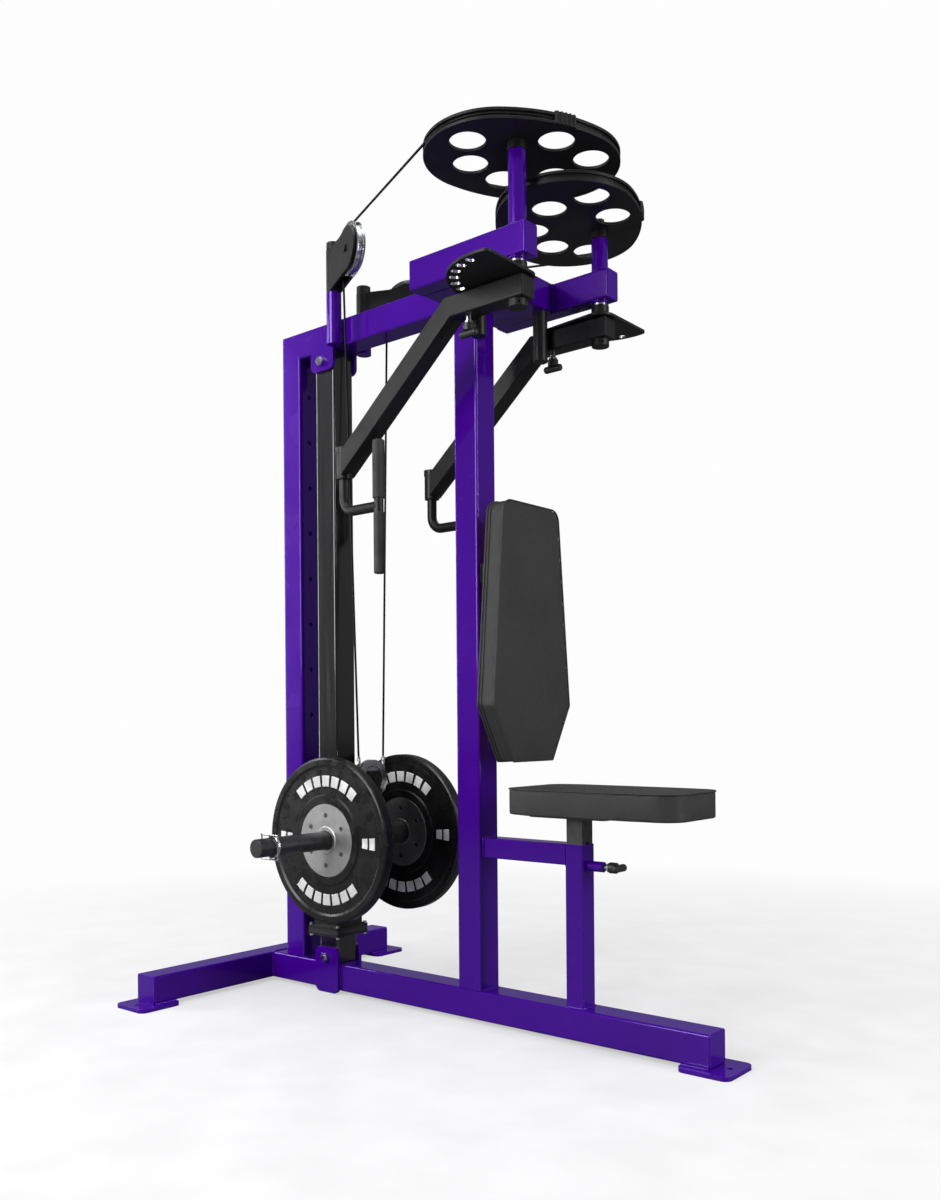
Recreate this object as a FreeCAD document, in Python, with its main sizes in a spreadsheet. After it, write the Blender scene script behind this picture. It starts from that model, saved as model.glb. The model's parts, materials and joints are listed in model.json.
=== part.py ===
"""Plate-loaded pec fly and rear delt machine, as a parametric FreeCAD document.

Frame: millimetres, +Z up, origin on the floor at the middle of the footprint.  +X is the way a
seated user faces, so the back pad and seat are on the +X side and the weight carriage on the -X
side.  The right-hand mechanism is at -Y; the left one is its mirror image, hung lower so that
the two cams pass over each other.
"""
import FreeCAD, Part
import math
import os
import re

import Sketcher

doc = FreeCAD.newDocument("pec_fly_machine")
sheet = doc.addObject("Spreadsheet::Sheet", "dims")

DIMENSIONS = [
    # frame
    ("tube", 76, "side of the frame tube"),
    ("tube_wall", 5, "wall of the frame tube"),
    ("tube_corner", 6, "outer corner radius of the frame tube, rail and carriage tube"),
    ("small_corner", 4, "outer corner radius of the smaller tubes"),
    ("front_end", 800, "front edge of the front foot plate"),
    ("half_width", 512, "outer edge of a rear foot plate"),
    ("foot_side", 127, "side of a foot plate"),
    ("foot_thick", 10, "thickness of a foot plate"),
    ("foot_corner", 19, "corner radius of a foot plate"),
    ("anchor_radius", 7, "radius of a floor anchor hole"),
    ("anchor_offset", 36, "anchor hole from the middle of its foot plate"),
    ("beam_inset", 61, "foot plate edge to the end of its beam"),
    ("frame_top", 1916, "top of the top beam"),
    ("rear_upright_x", -599, "middle of the rear upright"),
    ("front_upright_x", 68, "middle of the front upright"),
    ("cross_beam_x", -736.5, "middle of the rear cross beam"),
    ("sight_hole_radius", 6, "radius of a hole in the rear upright's front face"),
    ("sight_hole_pitch", 134, "distance between those holes"),
    ("sight_hole_low", 260, "height of the lowest of those holes"),
    # yoke that carries the two cam shafts
    ("yoke_back", 27, "rear face of the yoke"),
    ("yoke_box_front", 214, "front face of the yoke's cross box"),
    ("yoke_box_half", 149, "half length of the cross box"),
    ("yoke_arm", 51, "width of a yoke arm"),
    ("yoke_arm_front", 372, "front end of a yoke arm"),
    ("cap_thick", 5, "thickness of a tube end cap outside the tube"),
    ("cap_rim", 3.5, "radius of a cap's outer rim"),
    # cam shafts
    ("shaft_x", 343, "cam shaft axis, forward"),
    ("shaft_y", 175, "cam shaft axis, sideways"),
    ("shaft_radius", 12.5, "cam shaft"),
    ("sleeve_radius", 21, "outside of the shaft sleeve"),
    ("bush_radius", 16, "outside of a shaft bush"),
    ("running_gap", 0.05, "radial clearance of every running fit"),
    ("sleeve_low", 1836, "lower end of a shaft sleeve"),
    ("sleeve_high", 2089, "upper end of the right sleeve"),
    ("shaft_low", 1727, "lower end of a cam shaft"),
    ("shaft_high", 2140, "upper end of the right cam shaft"),
    ("left_drop", 88, "how much lower the left cam and its pulley are"),
    ("collar_radius", 22.5, "outside of a shaft collar or hub"),
    ("collar_high", 16, "height of a set-screw collar"),
    ("collar_screw", 3.2, "hole of a collar's set-screw"),
    # cams
    ("cam_low", 2108, "underside of the right cam"),
    ("cam_thick", 25, "cam, over both flanges"),
    ("groove_width", 13, "cable groove"),
    ("groove_depth", 8, "cable groove"),
    ("cam_centre_x", -42, "middle of the cam's oval from the shaft, at rest"),
    ("cam_centre_y", 78, "middle of the cam's oval from the shaft, at rest"),
    ("cam_turn", 60, "direction of the oval's long axis, degrees"),
    ("cam_end_offset", 70, "middle of the oval to the centre of an end arc"),
    ("cam_end_radius", 171, "end arc of the oval"),
    ("cam_side_radius", 381, "side arc of the oval"),
    ("cam_hole_radius", 42.5, "lightening hole"),
    ("cam_web", 6, "flat plate that a cam's rim stands on"),
    ("cam_rim", 14, "width of a cam's rim"),
    ("clip_reach", 27, "middle of the cable clip to its end"),
    ("clip_pitch", 1.6, "one rib of the cable clip to the next, degrees"),
    ("rib_radius", 3, "rib of the cable clip"),
    # index plates and arms
    ("index_low", 1798, "underside of an index plate"),
    ("index_thick", 6, "index plate"),
    ("index_radius", 166, "outer edge of an index plate"),
    ("index_side", 40, "straight sides of an index plate from the shaft"),
    ("index_slant", 19, "how far a straight side slopes in, to pass the arm stop post"),
    ("index_pitch", 13.5, "angle between two index holes, degrees"),
    ("pin_circle", 148, "index holes from the shaft"),
    ("pin_radius", 5.5, "pop-pin of the seat"),
    ("index_pin_radius", 7.5, "pop-pin of an arm"),
    ("slot_length", 24, "index slot, measured outward from the shaft"),
    ("pin_hole_radius", 6.5, "hole in the seat stem"),
    ("slot_half", 8.5, "half the width of an index slot"),
    ("arm", 51, "side of the arm tube"),
    ("arm_wall", 4, "wall of the arm tube"),
    ("arm_low", 1745, "underside of the level part of an arm"),
    ("arm_front", 368, "front end of an arm"),
    ("arm_bend_x", 147, "middle of the bend in an arm"),
    ("arm_slope", 40.6, "fall of the arm behind its bend, degrees"),
    ("barrel_x", -235, "handle pivot"),
    ("barrel_radius", 21, "handle pivot barrel"),
    ("barrel_low", 1415, "lower end of the handle barrel"),
    ("barrel_high", 1482, "upper end of the handle barrel"),
    # handles
    ("handle_radius", 13.5, "handle bar"),
    ("handle_level", 1329, "level part of the handle bar"),
    ("handle_bend", 35, "bend of the handle bar"),
    ("grip_x", -109, "grip tube axis"),
    ("grip_tube_radius", 12.5, "grip tube"),
    ("grip_low", 1155, "lower end of the lower grip"),
    ("grip_high", 1500, "upper end of the upper grip"),
    ("upper_grip_low", 1350, "lower end of the upper grip"),
    ("lower_grip_high", 1313, "upper end of the lower grip"),
    ("upper_grip_radius", 16, "upper rubber grip"),
    ("lower_grip_radius", 14, "lower rubber grip"),
    # arm stops
    ("stop_x", 188, "arm stop post axis, forward"),
    ("stop_y", 128, "arm stop post axis, sideways"),
    ("stop_radius", 19, "arm stop post"),
    ("stop_low", 1709, "lower end of an arm stop post"),
    # pulleys
    ("post_x", -391, "pulley post axis, forward"),
    ("post_radius", 21, "pulley post"),
    ("post_low", 1838, "lower end of a pulley post"),
    ("post_high", 1982, "upper end of the right pulley post"),
    ("swivel_height", 118, "swivel barrel of a pulley bracket"),
    ("spindle_radius", 12.5, "spindle that a pulley bracket swivels on"),
    ("sheave_reach", 138, "swivel axis to pulley axle"),
    ("sheave_radius", 70, "pulley rim"),
    ("sheave_pitch", 66, "pulley axle to cable centre"),
    ("cheek_radius", 57, "rounded end of a pulley bracket's cheek"),
    ("sheave_thick", 22, "pulley"),
    ("cable_radius", 3, "cable"),
    ("cable_inset", 4.5, "cam rim to cable centre"),
    ("cable_gap", 0.5, "between the top of a cable drop and the run over the pulley"),
    ("clamp_lean", 4, "end of the cable past the middle of the oval's side arc, degrees"),
    # guide rail
    ("rail_x", -455, "guide rail axis"),
    ("rail_low", 88, "lower end of the guide rail"),
    ("rail_high", 1836, "upper end of the guide rail"),
    ("lug_thick", 9.5, "guide rail lug"),
    ("low_bolt_z", 103, "bolt through the lower end of the rail"),
    ("high_bolt_z", 1807, "bolt through the upper end of the rail"),
    ("bolt_radius", 8, "guide rail bolt"),
    ("bolt_flats", 24, "guide rail bolt head across its flats"),
    # carriage
    ("sleeve", 100, "side of the carriage tube"),
    ("sleeve_wall", 6, "wall of the carriage tube"),
    ("carriage_low", 184, "lower end of the carriage tube"),
    ("carriage_high", 602, "upper end of the carriage tube"),
    ("flange", 124, "side of a carriage flange"),
    ("flange_thick", 8, "carriage flange"),
    ("guide_thick", 10, "plastic guide clamped between two flanges"),
    ("corner_bolt", 3, "radius of a corner bolt of the flanges"),
    ("corner_bolt_head", 5.2, "radius of its head"),
    ("horn_x", -329, "weight horn axis, forward"),
    ("horn_z", 454, "weight horn axis, up"),
    ("horn_radius", 24.5, "weight horn"),
    ("horn_half", 360, "half length of the weight horn bar"),
    ("horn_cap_length", 45, "plastic cap on the end of the horn"),
    ("horn_cap_radius", 24, "plastic cap on the end of the horn"),
    ("horn_collar_radius", 32.5, "tube that a weight plate rests against"),
    ("plate_face", 131, "inner face of a weight plate, and end of the collar"),
    ("plate_thick", 34, "weight plate"),
    ("plate_radius", 225, "weight plate"),
    ("plate_bore", 25.4, "bore of a weight plate"),
    ("hub_radius", 100, "steel hub disc of a weight plate"),
    ("hub_disc", 7, "thickness of a hub disc"),
    ("screw_circle", 68, "hub screws from the plate's axis"),
    ("screw", 5, "radius of a hub screw"),
    ("hub_tube_radius", 44, "tube between a plate's two hub discs"),
    ("ring_radius", 124, "inner edge of the recessed band on a weight plate"),
    ("ring_depth", 4, "depth of that band"),
    ("rim_radius", 199, "outer edge of that band"),
    ("clip_y", 350, "horn clip from the middle"),
    ("wire", 2.2, "radius of the clip wire"),
    ("bail", 62, "side of the clip's square bail"),
    ("bail_offset", 9, "coils to bail, outward along the horn"),
    ("lift_sheave_x", -317, "carriage pulley axis, forward"),
    ("lift_sheave_z", 613, "carriage pulley axle height"),
    ("lift_sheave_radius", 55, "carriage pulley rim"),
    ("lift_sheave_pitch", 47, "carriage pulley axle to cable centre"),
    ("lift_sheave_thick", 20, "carriage pulley"),
    # seat
    ("seat_post_x", 384, "seat post axis"),
    ("seat_post", 51, "side of the seat post"),
    ("seat_post_wall", 3, "wall of the seat post"),
    ("seat_post_top", 476, "upper end of the seat post"),
    ("seat_stem", 44.85, "side of the sliding stem"),
    ("seat_stem_low", 236, "lower end of the stem"),
    ("seat_plate_low", 540, "upper end of the stem and underside of the seat plate"),
    ("seat_low", 548, "underside of the seat pad"),
    ("seat_thick", 64, "seat pad"),
    ("seat_back", 240, "rear end of the seat pad"),
    ("seat_front", 708, "front end of the seat pad"),
    ("seat_hole_pitch", 25, "distance between two seat heights"),
    ("seat_pin_z", 425, "seat pop-pin height"),
    # back pad
    ("pad_face_back", 194, "rear face of the back pad's board"),
    ("board_thick", 12, "plywood board"),
    ("pad_front", 254, "front face of the back pad"),
    ("pad_low", 674, "lower end of the back pad"),
    ("pad_high", 1310, "upper end of the back pad"),
    ("pad_top_half", 113, "half width of the back pad at its top"),
    ("pad_wide_half", 158, "half width of the back pad at its widest"),
    ("pad_wide_z", 812, "height of that widest place"),
    ("pad_low_half", 82, "half width of the back pad at its lower end"),
]


# ---- the sheet and formulas over it -------------------------------------------------------

def fill_sheet():
    """Write the driving dimensions: meaning, plain number and alias in one row each."""
    for row, (alias, number, meaning) in enumerate(DIMENSIONS, start=1):
        sheet.set(f"A{row}", meaning)
        sheet.set(f"B{row}", str(number))
        sheet.setAlias(f"B{row}", alias)
    doc.recompute()


ALIASES = {alias for alias, _, _ in DIMENSIONS}


def formula(text):
    """A formula over aliases, such as "tube / 2", with each alias looked up in the sheet."""
    def look_up(word):
        return f"dims.{word.group()}" if word.group() in ALIASES else word.group()
    return re.sub(r"[a-z_]+", look_up, str(text))


def number(text):
    """The value of a formula, in mm or degrees."""
    result = sheet.evalExpression(formula(text))
    return float(getattr(result, "Value", result))


def bind(item, name, text):
    """Tie a property of an object to a formula."""
    item.setExpression(name, formula(text))


def between(low, high):
    """The pair of formulas for a span centred on the first, with the second as half length."""
    return (f"{low} - ({high})", f"{low} + ({high})")


# ---- Part primitives and booleans ---------------------------------------------------------

AXIS_TURNS = {
    "x": FreeCAD.Rotation(FreeCAD.Vector(0, 1, 0), 90),
    "y": FreeCAD.Rotation(FreeCAD.Vector(1, 0, 0), -90),
    "z": FreeCAD.Rotation(),
}


def box(x, y, z):
    """A block; x, y and z are its (low, high) pairs of formulas."""
    block = doc.addObject("Part::Box", "block")
    for side, axis, (low, high) in zip(("Length", "Width", "Height"), "xyz", (x, y, z)):
        bind(block, side, f"({high}) - ({low})")
        bind(block, f".Placement.Base.{axis}", low)
    return block


def rod(axis, centre, span, radius):
    """A cylinder along an axis; centre is its place on the other two axes, span its ends."""
    cylinder = doc.addObject("Part::Cylinder", "rod")
    bind(cylinder, "Radius", radius)
    bind(cylinder, "Height", f"({span[1]}) - ({span[0]})")
    cylinder.Placement = FreeCAD.Placement(FreeCAD.Vector(), AXIS_TURNS[axis])
    across = [name for name in "xyz" if name != axis]
    for name, place in zip(across, centre):
        bind(cylinder, f".Placement.Base.{name}", place)
    bind(cylinder, f".Placement.Base.{axis}", span[0])
    return cylinder


def join(*pieces):
    """One solid from pieces that are welded or made as one."""
    fused = doc.addObject("Part::MultiFuse", "joined")
    fused.Shapes = list(pieces)
    return fused


def cut(base, *tools):
    """The base with the tools taken out of it."""
    result = doc.addObject("Part::Cut", "cut")
    result.Base = base
    result.Tool = tools[0] if len(tools) == 1 else join(*tools)
    return result


def common(first, second):
    """What two pieces share."""
    result = doc.addObject("Part::Common", "common")
    result.Base = first
    result.Tool = second
    return result


def group(*pieces):
    """Separate solids that share one node."""
    compound = doc.addObject("Part::Compound", "group")
    compound.Links = list(pieces)
    return compound


def ring(axis, centre, span, outer, inner):
    """A round tube, washer or collar."""
    return cut(rod(axis, centre, span, outer), rod(axis, centre, span, inner))


def square_tube(axis, centre, span, side, wall, corner="tube_corner"):
    """A square tube along an axis, open at both ends, with its long edges rounded."""
    def block(half):
        spans = {axis: span}
        across = [name for name in "xyz" if name != axis]
        for name, place in zip(across, centre):
            spans[name] = between(place, half)
        return box(spans["x"], spans["y"], spans["z"])
    outside = round_long_edges(block(f"{side} / 2"), corner, axis)
    return cut(outside, block(f"{side} / 2 - {wall}"))


def round_long_edges(piece, radius, axis):
    """Fillet the edges of a piece that run along an axis."""
    return round_edges(piece, radius, lambda edge: runs_along(edge, "xyz".index(axis)))


def mirror(piece, lower="0"):
    """The left-hand twin of a right-hand piece, hung lower by a formula."""
    twin = doc.addObject("Part::Mirroring", "twin")
    twin.Source = piece
    twin.Normal = FreeCAD.Vector(0, 1, 0)
    bind(twin, ".Placement.Base.z", f"-({lower})")
    return twin


def round_edges(piece, radius, chosen):
    """Fillet the edges of a piece that the test `chosen` picks."""
    doc.recompute()
    edges = [
        place for place, edge in enumerate(piece.Shape.Edges, start=1) if chosen(edge)
    ]
    fillet = doc.addObject("Part::Fillet", "rounded")
    fillet.Base = piece
    fillet.Edges = [(place, number(radius), number(radius)) for place in edges]
    return fillet


def runs_along(edge, axis):
    """True for a straight edge parallel to an axis, 0 for x, 1 for y, 2 for z."""
    if not isinstance(edge.Curve, Part.Line):
        return False
    return abs(abs(edge.tangentAt(edge.FirstParameter)[axis]) - 1) < 1e-6


# ---- PartDesign bodies --------------------------------------------------------------------

def new_body(x="0", y="0", z="0", turn=None):
    """A body whose own origin is at the given place."""
    body = doc.addObject("PartDesign::Body", "body")
    if turn:
        body.Placement = FreeCAD.Placement(FreeCAD.Vector(), turn)
    for axis, place in zip("xyz", (x, y, z)):
        bind(body, f".Placement.Base.{axis}", place)
    return body


def new_sketch(body, plane, lift="0", shift=("0", "0"), turn="0"):
    """A sketch on one of the body's own planes, lifted along its normal, shifted and turned."""
    sketch = body.newObject("Sketcher::SketchObject", "sketch")
    support = [item for item in body.Origin.OriginFeatures if item.Role == plane]
    sketch.AttachmentSupport = [(support[0], "")]
    sketch.MapMode = "FlatFace"
    turned = FreeCAD.Rotation(FreeCAD.Vector(0, 0, 1), number(turn))
    sketch.AttachmentOffset = FreeCAD.Placement(FreeCAD.Vector(), turned)
    for axis, place in zip("xyz", (*shift, lift)):
        bind(sketch, f".AttachmentOffset.Base.{axis}", place)
    return sketch


def hold(sketch, kind, geometry, point, place):
    """Dimension a point's DistanceX or DistanceY from the sketch's origin."""
    rule = Sketcher.Constraint(kind, -1, 1, geometry, point, number(place))
    bind(sketch, f"Constraints[{sketch.addConstraint(rule)}]", place)


def hold_point(sketch, geometry, point, x, y):
    """Dimension both coordinates of a point."""
    hold(sketch, "DistanceX", geometry, point, x)
    hold(sketch, "DistanceY", geometry, point, y)


def hold_radius(sketch, geometry, radius):
    """Dimension the radius of a circle or an arc."""
    rule = Sketcher.Constraint("Radius", geometry, number(radius))
    bind(sketch, f"Constraints[{sketch.addConstraint(rule)}]", radius)


def draw_outline(sketch, corners):
    """A closed outline of straight lines through corners, each a pair of formulas."""
    points = [FreeCAD.Vector(number(x), number(y), 0) for x, y in corners]
    lines = []
    for start, end in zip(points, points[1:] + points[:1]):
        lines.append(sketch.addGeometry(Part.LineSegment(start, end), False))
    for line, following in zip(lines, lines[1:] + lines[:1]):
        sketch.addConstraint(Sketcher.Constraint("Coincident", line, 2, following, 1))
    for line, (x, y) in zip(lines, corners):
        hold_point(sketch, line, 1, x, y)


def draw_circle(sketch, x, y, radius):
    """A circle held by its centre and radius."""
    centre = FreeCAD.Vector(number(x), number(y), 0)
    upward = FreeCAD.Vector(0, 0, 1)
    circle = sketch.addGeometry(Part.Circle(centre, upward, number(radius)), False)
    hold_point(sketch, circle, 3, x, y)
    hold_radius(sketch, circle, radius)


def draw_oval(sketch, end_offset, end_radius, side_radius):
    """A closed oval of four tangent arcs, long along the sketch's x axis."""
    offset, end, side = number(end_offset), number(end_radius), number(side_radius)
    side_offset = ((side - end) ** 2 - offset ** 2) ** 0.5
    meet = FreeCAD.Vector(offset, side_offset, 0)
    lean = meet.getAngle(FreeCAD.Vector(1, 0, 0))
    half_turn = math.pi
    arcs = (
        (offset, 0, end, -lean, lean),
        (0, -side_offset, side, lean, half_turn - lean),
        (-offset, 0, end, half_turn - lean, half_turn + lean),
        (0, side_offset, side, half_turn + lean, 2 * half_turn - lean),
    )
    places = []
    for x, y, radius, start, stop in arcs:
        circle = Part.Circle(FreeCAD.Vector(x, y, 0), FreeCAD.Vector(0, 0, 1), radius)
        places.append(sketch.addGeometry(Part.ArcOfCircle(circle, start, stop), False))
    for place, following in zip(places, places[1:] + places[:1]):
        sketch.addConstraint(Sketcher.Constraint("Tangent", place, 2, following, 1))
    hold_point(sketch, places[0], 3, end_offset, "0")
    hold_point(sketch, places[2], 3, f"-({end_offset})", "0")
    for place, radius in zip(places, (end_radius, side_radius, end_radius, side_radius)):
        hold_radius(sketch, place, radius)


def pad(body, sketch, length, both_ways=False):
    """Grow a sketch along its normal, or evenly both ways."""
    feature = body.newObject("PartDesign::Pad", "pad")
    feature.Profile = sketch
    feature.Midplane = both_ways
    bind(feature, "Length", length)
    return feature


def pocket(body, sketch, length):
    """Cut a sketch out of the body, evenly both ways from the sketch's plane."""
    feature = body.newObject("PartDesign::Pocket", "pocket")
    feature.Profile = sketch
    feature.Midplane = True
    bind(feature, "Length", length)
    return feature


def row_of_cuts(body, feature, sketch, step, count):
    """Repeat a cut along the sketch's y axis."""
    pattern = body.newObject("PartDesign::LinearPattern", "row")
    pattern.Originals = [feature]
    pattern.Direction = (sketch, ["V_Axis"])
    pattern.Occurrences = count
    bind(pattern, "Length", f"{step} * {count - 1}")
    body.Tip = pattern


def revolve(body, sketch):
    """Turn a sketch once round its own y axis."""
    feature = body.newObject("PartDesign::Revolution", "revolved")
    feature.Profile = sketch
    feature.ReferenceAxis = (sketch, ["V_Axis"])
    feature.Angle = 360
    return feature


def fillet_body(body, radius, chosen):
    """Fillet the edges of a body that the test `chosen` picks."""
    doc.recompute()
    tip = body.Tip
    names = [
        f"Edge{place}" for place, edge in enumerate(tip.Shape.Edges, start=1) if chosen(edge)
    ]
    feature = body.newObject("PartDesign::Fillet", "rounded")
    feature.Base = (tip, names)
    bind(feature, "Radius", radius)
    return feature


def turned_piece(x, y, z, profile, turn=None):
    """A body turned from a half profile of (radius, height) formulas about its own z axis."""
    body = new_body(x, y, z, turn)
    sketch = new_sketch(body, "XZ_Plane")
    draw_outline(sketch, profile)
    revolve(body, sketch)
    return body


NODES = []


def node(piece, label):
    """Name a finished sub-part; the label names its file."""
    piece.Label = label
    NODES.append(piece)


fill_sheet()


# ---- base and uprights --------------------------------------------------------------------

HALF_TUBE = "tube / 2"
BASE_TOP = "foot_thick + tube"
BEAM_LOW = "frame_top - tube"


def make_foot_plates():
    """Three welded plates under the beam ends, each with one anchor hole outboard."""
    half_foot = "foot_side / 2"
    places = (
        (f"front_end - {half_foot}", "0", "anchor_offset", "0"),
        ("cross_beam_x", f"-half_width + {half_foot}", "0", "-anchor_offset"),
        ("cross_beam_x", f"half_width - {half_foot}", "0", "anchor_offset"),
    )
    plates = []
    for x, y, hole_x, hole_y in places:
        body = new_body(x, y)
        sketch = new_sketch(body, "XY_Plane")
        corners = ((-1, -1), (1, -1), (1, 1), (-1, 1))
        draw_outline(sketch, [(f"{a} * {half_foot}", f"{b} * {half_foot}") for a, b in corners])
        draw_circle(sketch, hole_x, hole_y, "anchor_radius")
        pad(body, sketch, "foot_thick")
        fillet_body(body, "foot_corner", lambda edge: runs_along(edge, 2) and edge.Length < 20)
        plates.append(body)
    node(group(*plates), "foot_plates")


def make_base():
    """The main beam along the machine and the cross beam behind it."""
    middle = f"foot_thick + {HALF_TUBE}"
    main_span = ("cross_beam_x + tube / 2", "front_end - beam_inset")
    node(square_tube("x", ("0", middle), main_span, "tube", "tube_wall"), "base_main_beam")
    cross_span = between("0", "half_width - beam_inset")
    cross = square_tube("y", ("cross_beam_x", middle), cross_span, "tube", "tube_wall")
    node(cross, "base_cross_beam")


def mitred_tube(corners, inner, axis):
    """A tube along an axis, drawn in side view: outer outline and the outline of its hollow."""
    body = new_body()
    outside = new_sketch(body, "XZ_Plane")
    draw_outline(outside, corners)
    pad(body, outside, "tube", both_ways=True)
    hollow = new_sketch(body, "XZ_Plane")
    draw_outline(hollow, inner)
    pocket(body, hollow, "tube - 2 * tube_wall")
    side = number(HALF_TUBE) - 0.1
    fillet_body(body, "tube_corner", lambda edge: runs_along(edge, "xyz".index(axis))
                and abs(edge.CenterOfMass.y) > side)
    return body


def make_uprights():
    """The rear upright and the top beam meet in a mitre; the front upright is square cut."""
    back, front = between("rear_upright_x", HALF_TUBE)
    outside = [(back, BASE_TOP), (front, BASE_TOP), (front, BEAM_LOW), (back, "frame_top")]
    inside = [
        (f"{back} + tube_wall", BASE_TOP),
        (f"{front} - tube_wall", BASE_TOP),
        (f"{front} - tube_wall", f"{BEAM_LOW} + tube_wall"),
        (f"{back} + tube_wall", "frame_top - tube_wall"),
    ]
    rear = mitred_tube(outside, inside, "z")
    holes = new_sketch(rear, "YZ_Plane", lift=f"rear_upright_x + {HALF_TUBE}")
    draw_circle(holes, "0", "sight_hole_low", "sight_hole_radius")
    row_of_cuts(rear, pocket(rear, holes, "tube"), holes, "sight_hole_pitch", 12)
    node(rear, "rear_upright")

    node(square_tube("z", ("front_upright_x", "0"), (BASE_TOP, BEAM_LOW), "tube", "tube_wall"),
         "front_upright")

    outside = [(back, "frame_top"), (front, BEAM_LOW), ("yoke_back", BEAM_LOW),
               ("yoke_back", "frame_top")]
    inside = [
        (f"{back} + tube_wall", "frame_top - tube_wall"),
        (f"{front} - tube_wall", f"{BEAM_LOW} + tube_wall"),
        ("yoke_back", f"{BEAM_LOW} + tube_wall"),
        ("yoke_back", "frame_top - tube_wall"),
    ]
    node(mitred_tube(outside, inside, "x"), "top_beam")


def make_yoke():
    """A cross box on the front upright and two arms that reach forward to the cam shafts."""
    level = (BEAM_LOW, "frame_top")
    half = "yoke_box_half"
    outer = box(("yoke_back", "yoke_box_front"), between("0", half), level)
    hollow = box(("yoke_back + tube_wall", "yoke_box_front - tube_wall"), between("0", half),
                 (f"{BEAM_LOW} + tube_wall", "frame_top - tube_wall"))
    cross_box = cut(round_long_edges(outer, "tube_corner", "y"), hollow)
    outside = box(("yoke_back", "yoke_arm_front"), (f"-{half} - yoke_arm", f"-{half}"), level)
    inside = box(("yoke_back", "yoke_arm_front"),
                 (f"-{half} - yoke_arm + arm_wall", f"-{half} - arm_wall"),
                 (f"{BEAM_LOW} + arm_wall", "frame_top - arm_wall"))
    bore = rod("z", ("shaft_x", "-shaft_y"), level, "sleeve_radius")
    right_arm = cut(round_long_edges(outside, "tube_corner", "x"), inside, bore)
    node(group(cross_box, right_arm, mirror(right_arm)), "yoke")


def end_cap(x, y, z, corner="tube_corner"):
    """A plate over the front end of a tube, its outer rim rounded."""
    face = number(x[1]) - 0.01
    plate = round_long_edges(box(x, y, z), corner, "x")
    return round_edges(plate, "cap_rim", lambda edge: edge.CenterOfMass.x > face)


def make_end_caps():
    """Caps on the front of the main beam, both ends of the cross beam and the yoke's arms."""
    beam_end = "front_end - beam_inset"
    level = ("foot_thick", BASE_TOP)
    front = end_cap((beam_end, f"{beam_end} + cap_thick"), between("0", HALF_TUBE), level)
    side = ("-yoke_box_half - yoke_arm", "-yoke_box_half")
    arm_cap = end_cap(("yoke_arm_front", "yoke_arm_front + 2 * cap_thick"), side,
                      (BEAM_LOW, "frame_top"))
    beam_side = box(between("cross_beam_x", HALF_TUBE),
                    ("-half_width + beam_inset - cap_thick", "-half_width + beam_inset"), level)
    beam_side = round_long_edges(beam_side, "tube_corner", "y")
    node(group(front, arm_cap, mirror(arm_cap), beam_side, mirror(beam_side)), "tube_end_caps")


# ---- guide rail, stops and pulley posts ---------------------------------------------------

def hexagon_bolt(z):
    """A bolt through the rail along y, with its head on the right and its nut on the left."""
    half = "tube / 2 + lug_thick"
    body = new_body("rail_x", "0", z)
    shank = new_sketch(body, "XZ_Plane")
    draw_circle(shank, "0", "0", "bolt_radius")
    pad(body, shank, f"2 * ({half}) + 32", both_ways=True)
    for side in (1, -1):
        head = new_sketch(body, "XZ_Plane", lift=f"{side} * ({half} + 6)")
        flats = "bolt_flats / sqrt(3)"
        corners = [(f"{flats} * cos({60 * turn})", f"{flats} * sin({60 * turn})")
                   for turn in range(6)]
        draw_outline(head, corners)
        pad(body, head, "12", both_ways=True)
    return body


def make_rail():
    """The square rail that the carriage runs on, between lugs on the two beams; its bolts."""
    rail = square_tube("z", ("rail_x", "0"), ("rail_low", "rail_high"), "tube", "arm_wall")
    through = between("0", "half_width")
    holes = [rod("y", ("rail_x", z), through, "bolt_radius + running_gap")
             for z in ("low_bolt_z", "high_bolt_z")]
    node(cut(rail, *holes), "guide_rail")

    lugs = []
    side = (f"-{HALF_TUBE} - lug_thick", f"-{HALF_TUBE}")
    for z, hole in ((("2", "131"), "low_bolt_z"), (("1781", "1860"), "high_bolt_z")):
        blank = box(between("rail_x", "46"), side, z)
        rounded = round_edges(blank, "18", lambda edge: runs_along(edge, 1))
        drilled = cut(rounded, rod("y", ("rail_x", hole), side, "bolt_radius + running_gap"))
        lugs += [drilled, mirror(drilled)]
    node(group(*lugs), "guide_rail_lugs")
    return [hexagon_bolt("low_bolt_z"), hexagon_bolt("high_bolt_z")]


def make_posts():
    """Fixed posts: two with spindles for the pulley brackets and two that stop the arms."""
    axis = ("post_x", "-tube / 2 - post_radius")
    posts = []
    for lower, twin in (("0", False), ("left_drop", True)):
        top = f"post_high - {lower}"
        post = rod("z", axis, ("post_low", top), "post_radius")
        spindle = rod("z", axis, (top, f"{top} + swivel_height + 4"), "spindle_radius")
        collar = rod("z", axis, (f"{top} + swivel_height + 4", f"{top} + swivel_height + 22"),
                     "post_radius - 1")
        piece = join(post, spindle, collar)
        posts.append(mirror(piece) if twin else piece)
    node(group(*posts), "pulley_posts")

    stop = rod("z", ("stop_x", "-stop_y"), ("stop_low", BEAM_LOW), "stop_radius")
    stop = round_edges(stop, "3", lambda edge: edge.CenterOfMass.z < number("stop_low") + 1
                       and isinstance(edge.Curve, Part.Circle))
    node(group(stop, mirror(stop)), "arm_stop_posts")


# ---- cam shafts, cams and index plates ----------------------------------------------------

SHAFT = ("shaft_x", "-shaft_y")


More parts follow.
